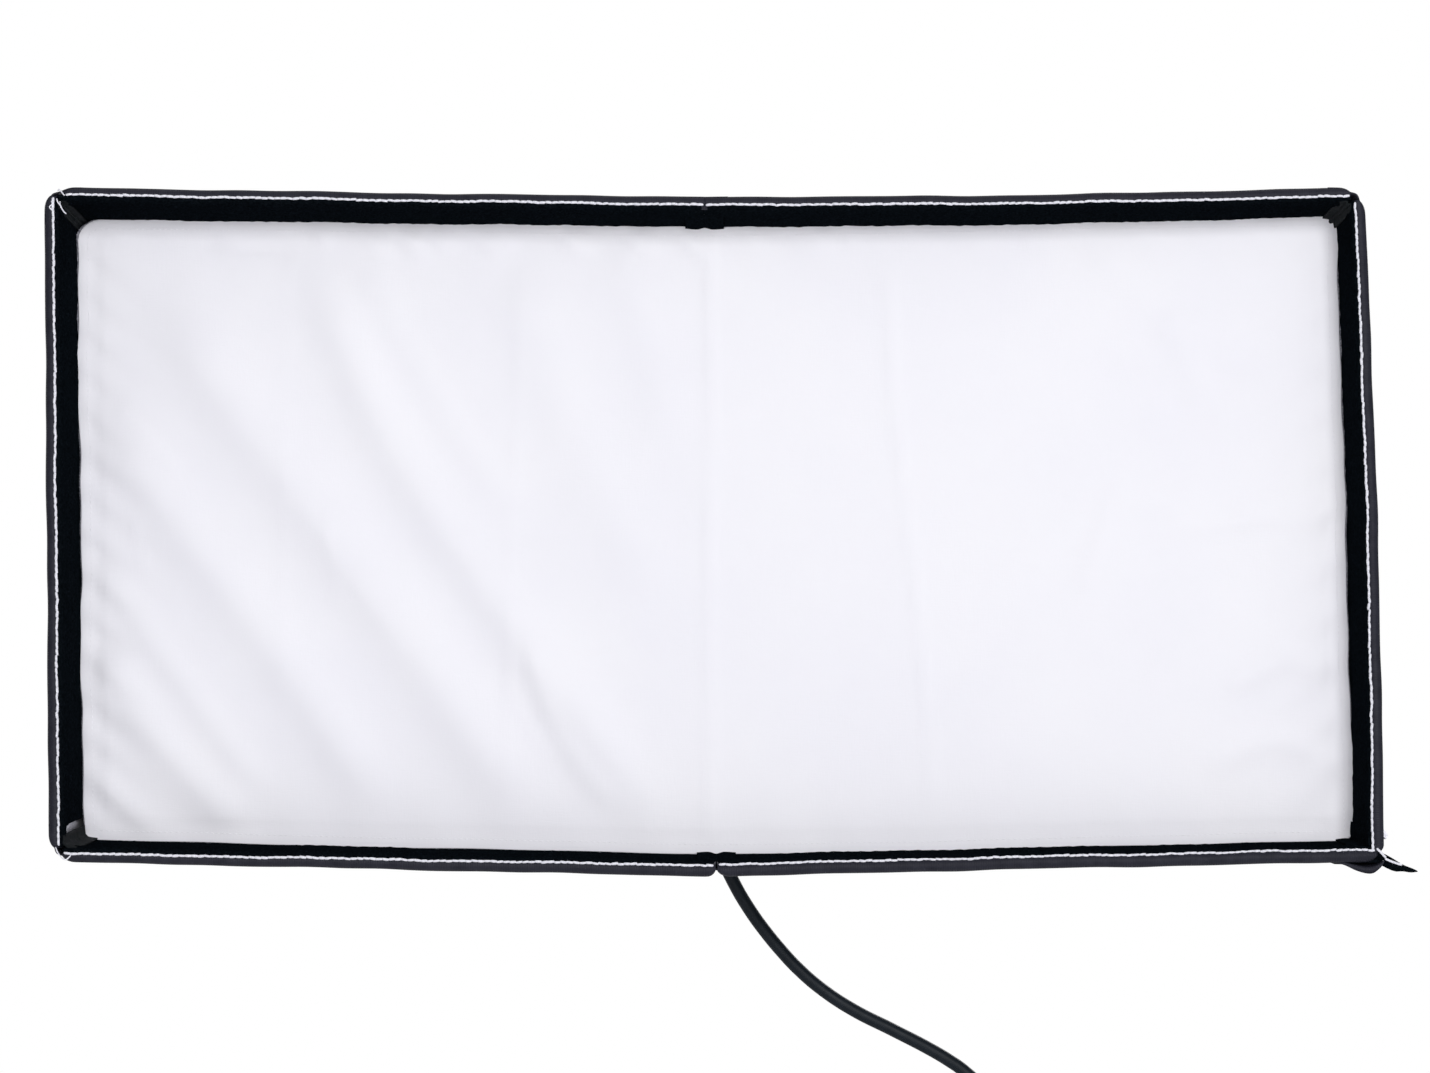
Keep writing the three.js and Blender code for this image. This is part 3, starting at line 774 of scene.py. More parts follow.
def tape_profile(swell):
    """The folded tape's section as (u, n) points from its outer leg round the front to its inner leg."""
    reach, half = RIM_REACH + swell, RIM_HALF + swell
    turn = np.linspace(math.pi / 2, -math.pi / 2, 13)
    arc = [(RIM_CENTRE_U - reach * math.cos(a), RIM_CENTRE_N + half * math.sin(a)) for a in turn]
    leg = (TAPE_FOLD + 0.0005, 0.0062)
    outer_leg = [(u, RIM_CENTRE_N + half) for u in leg]
    inner_leg = [(u, RIM_CENTRE_N - half) for u in leg[::-1]]
    return np.array(outer_leg + arc + inner_leg)


def tape_ends(name):
    """Gaps between the tape's ends and the hinge lines, less than zero where it runs past them."""
    first, second = PANEL_ENDS[name]
    start = {"top_middle": -0.0004, "bottom_middle": 0.0004, "bottom_right": -0.0022}.get(first, 0.0012)
    end = {"top_middle": -0.0004, "bottom_middle": 0.0004, "bottom_right": -0.0012}.get(second, 0.0012)
    start = {"top_left": 0.0042}.get(name, start)
    end = {"left": -0.0012}.get(name, end)
    return start, end


def add_tape(name):
    """Binding tape folded over the rim, its corners drawn in."""
    panel = PANELS[name]
    start_gap, end_gap = tape_ends(name)
    low, high = panel.ends(0.0)
    length = high - end_gap - low - start_gap
    s = low + start_gap + stations(length, CORNER_ROUNDING, 110, 7)
    keep = corner_round(panel, s - s[0] + 0.0001, s[-1] - s + 0.0001)[:, None]
    surfaces = []
    for swell in (0.0, -TAPE_THICKNESS * 0.8):
        profile = tape_profile(swell)
        u, n = profile[:, 0][None, :], profile[:, 1][None, :]
        n = np.where(n > TAPE_MIDDLE, TAPE_MIDDLE + (n - TAPE_MIDDLE) * keep, n)
        u = u + (1 - keep) * 0.0012 + 0.00016 * np.sin(s * 37 + panel.phase)[:, None]
        n = n + 0.0001 * np.sin(s * 210 + panel.phase)[:, None] * np.sin(u * 300)
        surfaces.append(panel.at(s[:, None] + np.zeros_like(n), u, n))
    piece = shell(f"rim_tape_{name}", surfaces[0], surfaces[1], [TAPE["z" if panel.vertical else "x"]])
    finish_piece(piece, BODY[name], "binding_tape", f"binding_{name}")


def add_stitches(name):
    """One line of thick white stitches through the tape, on its inner shoulder."""
    panel = PANELS[name]
    start_gap, end_gap = tape_ends(name)
    low, high = panel.ends(0.0)
    first, last = low + start_gap + 0.0012, high - end_gap - 0.0012
    count = int((last - first) / STITCH_PITCH)
    parts = []
    for k in range(count):
        s = first + (last - first) * k / count
        n = float(stitch_height(panel, s)) + random.uniform(-0.00015, 0.00015)
        u = float(rim_front(n)) - 0.0002
        lean = random.uniform(-0.00022, 0.00022)
        length = STITCH_PITCH * random.uniform(1.0, 1.08)
        path = [(0, 0.0002, -lean), (0.1, -0.0001, -lean), (0.5, -0.0003, 0), (0.9, -0.0001, lean),
                (1, 0.0002, lean)]
        points = [panel.at(s + share * length, u + rise, n + side) for share, rise, side in path]
        width = random.uniform(0.00060, 0.00076)
        parts.append(tube_parts(points, [width * w for w in (0.55, 0.9, 1.0, 0.9, 0.55)], 7))
    add_joined(f"rim_stitches_{name}", parts, THREAD, BODY[name], "diffuser_cloth")


for panel_name in PANEL_ENDS:
    add_wall(panel_name)
    add_loop_band(panel_name)
    add_tape(panel_name)
    add_stitches(panel_name)


# ---- Cloth across the corners and middle folds ----
JOINED = {
    "top_left": ("left", "top_left"), "top_middle": ("top_left", "top_right"),
    "top_right": ("top_right", "right"), "bottom_left": ("left", "bottom_left"),
    "bottom_middle": ("bottom_left", "bottom_right"), "bottom_right": ("right", "bottom_right"),
}


def corner_axes(corner, name):
    """Directions along a panel away from a hinge line, and outward, at that hinge line."""
    panel = PANELS[name]
    away = panel.along if PANEL_ENDS[name][0] == corner else -panel.along
    return away, panel.outward


def fold_cloth(name, corner, section, thickness, extent, material, waves=0.0002):
    """Cloth with a given section round a hinge line: points (along first panel, outward of it) to the fold,
    then (along second panel, outward of it). Its extent runs back along the hinge line."""
    first_name, second_name = JOINED[corner]
    first_away, first_out = corner_axes(corner, first_name)
    second_away, second_out = corner_axes(corner, second_name)
    first_leg, fold_out, fold_in, second_leg = section
    points = [first_away * a + first_out * n for a, n in first_leg]
    points += [(first_out + second_out) * fold_out + (first_away + second_away) * fold_in]
    points += [second_away * a + second_out * n for a, n in second_leg]
    curve = smooth_curve(points, 33)
    step = np.gradient(curve, axis=0)
    front, back = HINGES[corner]
    axis = unit(back - front)
    normal = np.cross(step, axis)
    normal /= np.linalg.norm(normal, axis=1)[:, None]
    if normal[16] @ (first_out + second_out) < 0:
        normal = -normal
    depth = np.linalg.norm(back - front)
    along = stations(extent[1] - extent[0], 0.001, 26, 3) + extent[0]
    fade = np.sin(np.linspace(0, math.pi, 33))[None, :, None]
    ripple = waves * np.sin(along * 260 + len(corner))[:, None, None] * fade
    base = front + axis * (along[:, None, None] * depth / WALL_DEPTH) + curve[None, :, :]
    outer = base + normal[None] * (thickness / 2 + ripple)
    inner = base - normal[None] * (thickness / 2 - ripple)
    piece = shell(name, outer, inner, [material])
    if corner == "bottom_right":
        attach(piece, "bottom_right")
        return piece
    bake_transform(piece)
    return piece


def add_outer_fold(corner):
    """The fabric hinge over the outside of a corner or a middle fold."""
    if corner == "top_middle":
        section = ([(0.012, 0.0053), (0.005, 0.0054)], 0.0027, 0.0, [(0.005, 0.0054), (0.012, 0.0053)])
    elif corner == "bottom_middle":
        section = ([(0.012, 0.0053), (0.0052, 0.0040)], 0.0011, 0.0, [(0.0052, 0.0040), (0.012, 0.0053)])
    else:
        section = ([(0.013, 0.0054), (0.0075, 0.0050), (0.0025, 0.0030)], 0.0015, 0.0,
                   [(0.0025, 0.0030), (0.0075, 0.0050), (0.013, 0.0054)])
    piece = fold_cloth(f"outer_fold_{corner}", corner, section, 0.0008, (-0.0002, WALL_DEPTH), OXFORD)
    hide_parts(f"hinge_strip_{corner}")


INNER_RIDGE = {"top_left": 0.0024, "top_right": 0.0030, "bottom_left": 0.0022, "bottom_right": 0.0010}
INNER_LEGS = {"top_left": (0.0052, 0.0052), "top_right": (0.0070, 0.0062), "bottom_left": (0.0072, 0.0080),
              "bottom_right": (0.0100, 0.0090)}


def add_inner_fold(corner):
    """Cloth inside a corner, with a soft diagonal ridge, or a flat strip over a middle fold."""
    if corner.endswith("middle"):
        section = ([(0.010, -0.0006), (0.004, -0.0009)], 0.0, 0.0001, [(0.004, -0.0009), (0.010, -0.0006)])
        fold_cloth(f"inner_fold_{corner}", corner, section, 0.0011, (0.0030, BAND_START + 0.055), PILE,
                   0.0003)
        return
    ridge = INNER_RIDGE[corner]
    first, second = INNER_LEGS[corner]
    section = ([(first, -0.0006), (0.45 * first, -0.0012)], 0.0, ridge,
               [(0.45 * second, -0.0012), (second, -0.0006)])
    cloth = PILE if corner == "bottom_right" else GUSSET
    fold_cloth(f"inner_fold_{corner}", corner, section, 0.0011, (0.0016, WALL_DEPTH - 0.002), cloth,
               0.0003)


for corner_name in JOINED:
    add_inner_fold(corner_name)
    if corner_name != "bottom_right":
        add_outer_fold(corner_name)


# ---- The open lower right corner: closing flap, its stitch, a pinch of cloth and a folded tag ----
FIN_START, FIN_DEPTH = 0.0035, 0.088
PINCH_START, PINCH_DEPTH = 0.0015, 0.060


def add_closing_flap():
    """The hook-and-loop flap that closes the ring, sticking out past the corner."""
    panel = PANELS["bottom_right"]
    line = smooth_curve([(0.018, 0.0068), (0.010, 0.0066), (0.002, 0.0060), (-0.0055, 0.0064),
                         (-0.010, 0.0079), (-0.014, 0.0092), (-0.019, 0.0107), (-0.0235, 0.0117)], 30)
    swell = np.interp(np.linspace(0, 1, 30), [0, 0.3, 0.45, 0.57, 0.68, 0.85, 1.0],
                      [0.0005, 0.0012, 0.0020, 0.0026, 0.0026, 0.0019, 0.0004])
    u = stations(FIN_DEPTH, 0.002, 22, 4) + FIN_START
    grow = rounding(u - FIN_START, 0.003, 0.45) * (1 - 0.35 * (u - FIN_START) / FIN_DEPTH)
    lump = 1 + 0.18 * np.sin(np.linspace(0, 1, 30) * 21)
    s = panel.start_slope * u[:, None] + line[None, :, 0]
    middle = line[None, :, 1] + 0.0006 * np.sin(u * 75)[:, None]
    half = swell[None, :] * grow[:, None] * lump[None, :]
    outer = panel.at(s, u[:, None], middle + half)
    inner = panel.at(s, u[:, None], middle - half * 0.9)
    piece = shell("closing_fin", outer, inner, [PILE])
    finish_piece(piece, "bottom_right", "hinge_fabric", "closing_flap")


def add_flap_pinch():
    """A pinch of the flap's cloth that hangs below the corner, deepest at the front."""
    panel = PANELS["bottom_right"]
    line = smooth_curve([(0.0200, 0.0058), (0.014, 0.0076), (0.0085, 0.0103), (0.0030, 0.0120),
                         (-0.0008, 0.0118), (-0.0044, 0.0090), (-0.0060, 0.0068)], 24)
    u = stations(PINCH_DEPTH, 0.001, 16, 3) + PINCH_START
    fade = 1 - 0.75 * ((u - PINCH_START) / PINCH_DEPTH)[:, None]
    s = panel.start_slope * u[:, None] + line[None, :, 0]
    hang = (line[None, :, 1] - 0.0058) * fade
    outer = panel.at(s, u[:, None], 0.0058 + hang)
    inner = panel.at(s, u[:, None], 0.0052 + hang * 0.55)
    piece = shell("flap_pinch", outer, inner, [TAPE["x"]])
    finish_piece(piece, "bottom_right", "hinge_fabric")


def add_thread(name, body, points, width=0.00034, count=18):
    """One loose length of thick white thread."""
    curve = smooth_curve(points, count)
    radii = [width * (0.4 if k in (0, count - 1) else 1) for k in range(count)]
    add_joined(name, [tube_parts(curve, radii, 7)], THREAD, body, "diffuser_cloth")


def add_fin_stitch():
    """One long stitch lying along the closing flap."""
    panel = PANELS["bottom_right"]
    places = [(-0.0062, 0.0012, 0.0046), (-0.0090, 0.0018, 0.0060), (-0.0120, 0.0024, 0.0072),
              (-0.0152, 0.0030, 0.0083)]
    add_thread("fin_stitch", "bottom_right", [panel.at(*p) for p in places], 0.0006)


def add_corner_run():
    """The right wall's last stitches, turning down across the corner."""
    panel = PANELS["bottom_right"]
    places = [(-0.0016, -0.0022, -0.0012), (-0.0034, -0.0020, 0.0006), (-0.0050, -0.0016, 0.0024),
              (-0.0064, -0.0008, 0.0038)]
    add_thread("corner_run", "bottom_right", [panel.at(*p) for p in places], 0.0006)


def add_folded_tag():
    """A small blank tag folded into the seam at the end of the right wall."""
    panel = PANELS["right"]
    end = panel.ends(0.0)[1]
    outline = [(-0.0105, 0.0062), (-0.0075, 0.0084), (-0.0055, 0.0074), (-0.0068, 0.0060)]
    front, back = ([panel.at(end + s, u, n) for s, n in outline] for u in (0.0012, 0.0105))
    piece = make_mesh("folded_tag", *block_parts(front, back), [THREAD], smooth=False)
    outward_normals(piece)
    finish_piece(piece, "right_wall", "diffuser_cloth")


# Loose ends and loops of the thick thread: the wall they start from, and (s, u, n) points. On the left
# and lower left walls s is measured back from the wall's end.
LOOSE_THREADS = {
    "thread_loop_top": ("top_left", [(0.0048, -0.0016, 0.0008), (0.0036, -0.0022, 0.0022),
                                     (0.0020, -0.0018, 0.0040), (0.0012, -0.0008, 0.0034)]),
    "thread_loop_middle": ("top_left", [(0.0008, -0.0010, -0.0005), (0.0016, -0.0020, -0.0028),
                                        (0.0030, -0.0012, -0.0045), (0.0036, 0.0008, -0.0058)]),
    "thread_loop_left": ("left", [(0.0068, -0.0010, 0.0012), (0.0048, -0.0018, 0.0026),
                                  (0.0034, -0.0018, 0.0012), (0.0016, -0.0012, 0.0018)]),
    "thread_tail_left": ("left", [(0.0016, 0.0006, -0.0022), (0.0040, -0.0010, -0.0028),
                                  (0.0066, -0.0002, -0.0040), (0.0082, 0.0018, -0.0052)]),
    "thread_loop_bottom": ("bottom_left", [(0.0060, -0.0012, 0.0020), (0.0036, -0.0020, 0.0044),
                                           (0.0012, -0.0016, 0.0036), (-0.0010, -0.0008, 0.0010),
                                           (-0.0022, -0.0002, -0.0016)]),
}


def add_loose_thread(name):
    wall, places = LOOSE_THREADS[name]
    panel = PANELS[wall]
    end = panel.ends(0.0)[1]
    points = [panel.at(s if wall == "top_left" else end - s, u, n) for s, u, n in places]
    add_thread(name, BODY[wall], points)


add_closing_flap()
add_flap_pinch()
add_fin_stitch()
add_corner_run()
add_folded_tag()
for thread_name in LOOSE_THREADS:
    add_loose_thread(thread_name)


# ---- Diffuser ----
DIFFUSER_COLUMNS = 200
DIFFUSER_ROWS = 104
CLOTH_WIDTH, CLOTH_HEIGHT = 0.65, 0.32
CLOTH_THICKNESS = 0.0007
CLOTH_SAG = 0.003
END_CELL = 0.0004
HOOK_POINTS = 2600
HEM_POINTS = 1300
# Recess behind the rim at the left and right edges and the top and bottom edges.
RECESS_LEFT, RECESS_RIGHT, RECESS_TOP, RECESS_BOTTOM = 0.041, 0.031, 0.034, 0.0385


def recess_at(x_share, z_share):
    """How far behind the rim the cloth is held."""
    across = RECESS_LEFT + (RECESS_RIGHT - RECESS_LEFT) * x_share
    upright = RECESS_BOTTOM + (RECESS_TOP - RECESS_BOTTOM) * z_share
    return (across + upright) / 2


def wall_point(corner, depth):
    """The place on a hinge line at a depth behind the rim."""
    front, back = HINGES[corner]
    return front + (back - front) * (depth / WALL_DEPTH)


def edge_waver(share, phase, size):
    """A slow wander of an edge, from 0 to about the size."""
    wave = 0.55 * np.sin(share * 13 + phase) + 0.3 * np.sin(share * 29 + 2.1 * phase)
    return size * (0.5 + 0.5 * wave + 0.15 * np.sin(share * 61 + phase))


def close_at_ends(count, first):
    """Shares from 0 to 1, with two narrow cells at each end so that the edge stays crisp."""
    inner = np.linspace(4 * first, 1 - 4 * first, count - 4)
    return np.concatenate([[0, first], inner, [1 - first, 1]])


def diffuser_edges():
    """The cloth's four edges as (x, z), inside the walls by a small wavering gap."""
    x_share = close_at_ends(DIFFUSER_COLUMNS, END_CELL / CLOTH_WIDTH)
    z_share = close_at_ends(DIFFUSER_ROWS, END_CELL / CLOTH_HEIGHT)

    def rail(first, middle, second, level):
        depth = recess_at(x_share, 1.0 if level > 0 else 0.0)
        a, b, c = (np.array([wall_point(name, d) for d in depth]) for name in (first, middle, second))
        half = x_share * 2
        before_middle = a[:, 2] + (b[:, 2] - a[:, 2]) * half
        past_middle = b[:, 2] + (c[:, 2] - b[:, 2]) * (half - 1)
        z = np.where(half < 1, before_middle, past_middle)
        return a[:, 0] + (c[:, 0] - a[:, 0]) * x_share, z

    top_x, top_z = rail("top_left", "top_middle", "top_right", 1)
    bottom_x, bottom_z = rail("bottom_left", "bottom_middle", "bottom_right", -1)
    top_z = top_z - edge_waver(x_share, 0.6, 0.0008) + 0.0005
    bottom_z = bottom_z + edge_waver(x_share, 2.2, 0.0009) - 0.0004
    left_x = bottom_x[0] + (top_x[0] - bottom_x[0]) * z_share + edge_waver(z_share, 1.1, 0.0018)
    right_x = bottom_x[-1] + (top_x[-1] - bottom_x[-1]) * z_share
    right_x = right_x - edge_waver(z_share, 3.4, 0.0014) + 0.0010
    return x_share, z_share, top_z, bottom_z, left_x, right_x


def near_line(x, z, points):
    """Distance from a bent line, and how far along it (0 to 1), for each place."""
    points = smooth_curve([(a, 0, b) for a, b in points], 9)[:, (0, 2)]
    lengths = np.linalg.norm(np.diff(points, axis=0), axis=1)
    before = np.concatenate([[0], np.cumsum(lengths)])
    nearest = np.full_like(x, 9.0)
    share = np.zeros_like(x)
    for k, length in enumerate(lengths):
        ahead = (points[k + 1] - points[k]) / length
        dx, dz = x - points[k][0], z - points[k][1]
        along = dx * ahead[0] + dz * ahead[1]
        low = -9.0 if k == 0 else 0.0
        high = 9.0 if k == len(lengths) - 1 else length
        along = np.clip(along, low, high)
        off = np.hypot(dx - along * ahead[0], dz - along * ahead[1])
        closer = off < nearest
        nearest = np.where(closer, off, nearest)
        share = np.where(closer, (before[k] + along) / before[-1], share)
    return nearest, share


def soft_ends(share, start, end):
    """1 in the middle of a line, easing to 0 over its start and end shares."""
    fade = np.clip(share / start, 0, 1) * np.clip((1 - share) / end, 0, 1)
    return fade * fade * (3 - 2 * fade)


# Crest lines of the drape as (x, height above the centre), then width and height of the fold.
LONG_FOLDS = [
    ([(-0.212, 0.150), (-0.165, 0.045), (-0.114, -0.032), (-0.066, -0.097), (-0.016, -0.165)],
     0.0135, 0.0030),
    ([(-0.292, 0.130), (-0.240, 0.055), (-0.188, -0.013), (-0.136, -0.085), (-0.080, -0.165)],
     0.0165, 0.0034),
    ([(-0.320, 0.066), (-0.272, 0.000), (-0.220, -0.068), (-0.160, -0.155)], 0.0140, 0.0027),
    ([(-0.318, -0.060), (-0.280, -0.114), (-0.236, -0.158)], 0.0110, 0.0024),
    ([(-0.322, -0.012), (-0.295, -0.048), (-0.253, -0.105), (-0.222, -0.145)], 0.0080, 0.0012),
    ([(-0.103, 0.140), (-0.076, 0.062), (-0.046, 0.000), (-0.020, -0.050)], 0.0160, 0.0013),
    ([(-0.184, 0.145), (-0.150, 0.082), (-0.124, 0.040), (-0.095, 0.000)], 0.0090, 0.0011),
    ([(-0.322, -0.120), (-0.300, -0.145), (-0.280, -0.165)], 0.0070, 0.0012),
    ([(-0.050, 0.150), (-0.030, 0.090), (-0.018, 0.040)], 0.0110, 0.0008),
    ([(-0.098, -0.055), (-0.075, -0.110), (-0.045, -0.150)], 0.0060, 0.0010),
    ([(0.290, 0.080), (0.240, 0.110), (0.190, 0.150)], 0.0120, 0.0009),
    ([(0.320, -0.075), (0.296, -0.068), (0.262, -0.085)], 0.0070, 0.0011),
    ([(0.330, 0.010), (0.280, 0.004), (0.220, 0.000)], 0.0060, 0.0007),
    ([(0.325, -0.125), (0.290, -0.110), (0.250, -0.125)], 0.0070, 0.0009),
    ([(0.215, 0.030), (0.203, 0.000), (0.190, -0.040)], 0.0050, 0.0006),
    ([(0.235, 0.115), (0.250, 0.080), (0.262, 0.050)], 0.0080, 0.0007),
]
# Sharp creases left by packing, as lines with a width and a height.
CREASES = [
    ([(-0.001, 0.170), (0.0005, 0.060), (-0.001, -0.060), (0.0005, -0.175)], 0.0016, 0.0011),
    ([(0.092, 0.140), (0.094, 0.080), (0.105, -0.020), (0.113, -0.110), (0.113, -0.155)], 0.0022, 0.0010),
    ([(-0.098, 0.140), (-0.100, 0.060), (-0.104, -0.030), (-0.104, -0.145)], 0.0018, 0.0005),
    ([(-0.220, 0.145), (-0.221, 0.000), (-0.220, -0.130)], 0.0018, 0.0003),
    ([(-0.264, 0.150), (-0.244, 0.146), (-0.216, 0.143)], 0.0022, -0.0010),
    ([(-0.197, 0.010), (-0.196, -0.015), (-0.190, -0.045)], 0.0014, 0.0005),
    ([(-0.298, 0.005), (-0.296, -0.008), (-0.290, -0.024)], 0.0014, 0.0005),
    ([(-0.308, 0.062), (-0.295, 0.050), (-0.275, 0.028)], 0.0022, 0.0008),
    ([(-0.105, -0.060), (-0.098, -0.095), (-0.082, -0.120)], 0.0020, 0.0005),
    ([(-0.222, 0.030), (-0.190, -0.020), (-0.160, -0.060)], 0.0030, 0.0004),
]
# Short gathers below the top edge: where each starts, and its length.
TOP_GATHERS = [(-0.205, 0.012), (-0.188, 0.026), (-0.166, 0.022), (-0.150, 0.020), (-0.128, 0.024),
               (-0.112, 0.014), (-0.080, 0.018), (-0.048, 0.022), (-0.022, 0.024), (0.018, 0.012),
               (0.052, 0.014), (0.070, 0.010)]


def fold_field(x, z):
    """Depth of the drape, in metres: soft folds from the upper left towards the lower right."""
    depth = np.zeros_like(x)
    for points, width, height in LONG_FOLDS:
        off, share = near_line(x, z, points)
        depth += 1.2 * height * soft_ends(share, 0.16, 0.2) * np.exp(-(off / width) ** 2)
    for points, width, height in CREASES:
        off, share = near_line(x, z, points)
        depth += height * soft_ends(share, 0.06, 0.08) * np.exp(-off / width)
    for start, length in TOP_GATHERS:
        line = [(start, 0.160), (start + 0.4 * length, 0.152), (start + length, 0.160 - length)]
        off, share = near_line(x, z, line)
        depth += 0.0024 * soft_ends(share, 0.12, 0.6) * np.exp(-(off / 0.0042) ** 2)
    return depth


def edge_puckers(x, z, from_left, from_right, from_top, from_bottom):
    """Short gathers where the hem pulls on the cloth."""
    puckers = 0.0014 * np.exp(-from_left / 0.013) * (np.sin(z * 300 + x * 210) + 0.4 * np.sin(z * 131 + 0.7))
    puckers += 0.0009 * np.exp(-from_right / 0.014) * np.sin(z * 235 - x * 160)
    puckers += 0.0006 * np.exp(-from_top / 0.012) * np.sin(x * 210 + z * 150)
    puckers += 0.0006 * np.exp(-from_bottom / 0.012) * np.sin(x * 175 + 1.0)
    nearest = np.minimum(np.minimum(from_left, from_right), np.minimum(from_top, from_bottom))
    hem = -0.0006 * np.exp(-((nearest - 0.0085) / 0.0011) ** 2)
    return puckers + hem


def diffuser_surface():
    """The cloth's front as a grid of points: taut between its edges, with folds, gathers and a slight sag."""
    x_share, z_share, top_z, bottom_z, left_x, right_x = diffuser_edges()
    u, v = np.meshgrid(x_share, z_share, indexing="ij")
    x = left_x[None, :] + (right_x - left_x)[None, :] * u
    z = bottom_z[:, None] + (top_z - bottom_z)[:, None] * v
    x, z = round_corners(x, z, u, v)
    depth = recess_at(u, v)
    from_left, from_right = u * CLOTH_WIDTH, (1 - u) * CLOTH_WIDTH
    from_bottom, from_top = v * CLOTH_HEIGHT, (1 - v) * CLOTH_HEIGHT
    local_z = z - centre_z
    relief = fold_field(x, local_z) + edge_puckers(x, local_z, from_left, from_right, from_top, from_bottom)
    sag = CLOTH_SAG * np.sin(math.pi * u) * np.sin(math.pi * v)
    nearest = np.minimum(np.minimum(from_left, from_right), np.minimum(from_top, from_bottom))
    hold = np.clip(nearest / 0.010, 0.3, 1)
    y = rim_y + depth - (relief * hold) + sag
    return np.stack([x, y, z], axis=-1)


CORNER_RADII = {(-1, 1): 0.0120, (1, 1): 0.0075, (1, -1): 0.0065, (-1, -1): 0.0030}


def round_corners(x, z, u, v):
    """Draws the square corners in to quarter circles: the upper left one is cut most."""
    for (side, level), radius in CORNER_RADII.items():
        du = (u if side < 0 else 1 - u) * CLOTH_WIDTH
        dv = (v if level < 0 else 1 - v) * CLOTH_HEIGHT
        a, b = np.clip(1 - du / radius, 0, 1), np.clip(1 - dv / radius, 0, 1)
        keep = np.maximum(a, b) / np.maximum(np.hypot(a, b), 1e-9)
        keep = np.where(np.minimum(a, b) > 0, keep, 1.0)
        x = x - side * a * (1 - keep) * radius
        z = z - level * b * (1 - keep) * radius
    return x, z


def add_diffuser():
    """The white cloth with its hook strip and hem stitches."""
    surface = diffuser_surface()
    behind = surface + np.array([0, CLOTH_THICKNESS, 0])
    sheet = shell("diffuser_sheet", surface, behind, [NYLON])
    finish_piece(sheet, "diffuser", "diffuser_cloth", "diffuser_cloth")
    edge = add_hook_edge(surface)
    stitches = add_hem_stitches(surface)
    # Its folds and sag take up a few millimetres of the flat cloth.
    for piece in (sheet, edge, stitches):
        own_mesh(piece)


def border_path(surface, inset):
    """The cloth's edge as one closed run of points, inset by a number of cells from the border."""
    s = surface[inset:surface.shape[0] - inset, inset:surface.shape[1] - inset]
    return np.concatenate([s[:-1, 0], s[-1, :-1], s[1:, -1][::-1], s[0, 1:][::-1]])


def add_hook_edge(surface):
    """The hook strip sewn behind the cloth's edge, its toothed edge just proud of the hem."""
    path = border_path(surface, 0)
    centre = path.mean(0)
    fine = smooth_curve(np.vstack([path, path[:1]]), HOOK_POINTS)[:-1]
    ahead = np.roll(fine, -1, axis=0) - np.roll(fine, 1, axis=0)
    ahead /= np.linalg.norm(ahead, axis=1)[:, None]
    out = np.cross(ahead, np.array([0.0, 1.0, 0.0]))
    out *= np.sign(np.sum(out * (fine - centre), axis=1))[:, None]
    share = np.linspace(0, 1, len(fine), endpoint=False)
    lift = 0.0004 + 0.0010 * np.clip(np.sin(share * 31) + 0.4 * np.sin(share * 83), 0, 1)
    teeth = 0.00035 * (np.arange(len(fine)) % 2)
    toothed, inner = out * (lift + teeth)[:, None], -0.005 * out
    rows = [fine + offset + np.array([0, back, 0])
            for offset, back in ((toothed, 0.0012), (toothed, 0.0020), (inner, 0.0030), (inner, 0.0022))]
    count = len(fine)
    vertices = np.concatenate(rows)
    faces = []
    for i in range(count):
        j = (i + 1) % count
        for r in range(4):
            q = (r + 1) % 4
            faces.append((r * count + i, r * count + j, q * count + j, q * count + i))
    edge = make_mesh("diffuser_hook_edge", vertices, faces, [HOOK], smooth=False)
    outward_normals(edge)
    return finish_piece(edge, "diffuser", "hook_tape", "diffuser_hook_tape")


def add_hem_stitches(surface):
    """Fine hem stitching, a few millimetres in from the edge."""
    path = border_path(surface, 3)
    fine = smooth_curve(np.vstack([path, path[:1]]), HEM_POINTS)
    parts = []
    for k in range(0, len(fine) - 2, 2):
        end = fine[k] + (fine[k + 1] - fine[k]) * 1.35
        parts.append(stitch_parts(fine[k], end, (0, -0.0001, 0), 0.00006, 0.00014, 5))
    return add_joined("diffuser_hem_stitches", parts, NYLON, "diffuser", "diffuser_cloth")


add_diffuser()


# ---- LED mat ----
LED_COLUMNS = 32
LED_ROWS = 16


def soft_plate(name, low, high, radius, material, body, slot, *nodes, wave=0.0003, cell=0.008):
    """A flat soft piece in the XZ plane with round corners and edges, slightly uneven."""
    width, height = high.x - low.x, high.z - low.z
    edge = min(0.0012, (high.y - low.y) * 0.5)
    xs = low.x + stations(width, edge, max(8, int(width / cell)), 4)
    zs = low.z + stations(height, edge, max(8, int(height / cell)), 4)
    x, z = np.meshgrid(xs, zs, indexing="ij")
    near_x = np.minimum(x - low.x, high.x - x)
    near_z = np.minimum(z - low.z, high.z - z)
    pull = np.clip(radius - near_x, 0, radius) * np.clip(radius - near_z, 0, radius) / radius
    share = 0.29 * pull / radius
    x = x + np.sign((low.x + high.x) / 2 - x) * share * radius
    z = z + np.sign((low.z + high.z) / 2 - z) * share * radius
    keep = np.minimum(rounding(near_x, edge, 0.3), rounding(near_z, edge, 0.3))
    uneven = wave * np.sin(x * 41 + 1) * np.sin(z * 53 + 2) * 0.5
    middle = (low.y + high.y) / 2
    half = (high.y - low.y) / 2
    front = np.stack([x, middle - (half - wave) * keep + uneven, z], axis=-1)
    back = np.stack([x, middle + (half - wave) * keep + uneven, z], axis=-1)
    return finish_piece(shell(name, front, back, [material]), body, slot, *nodes)


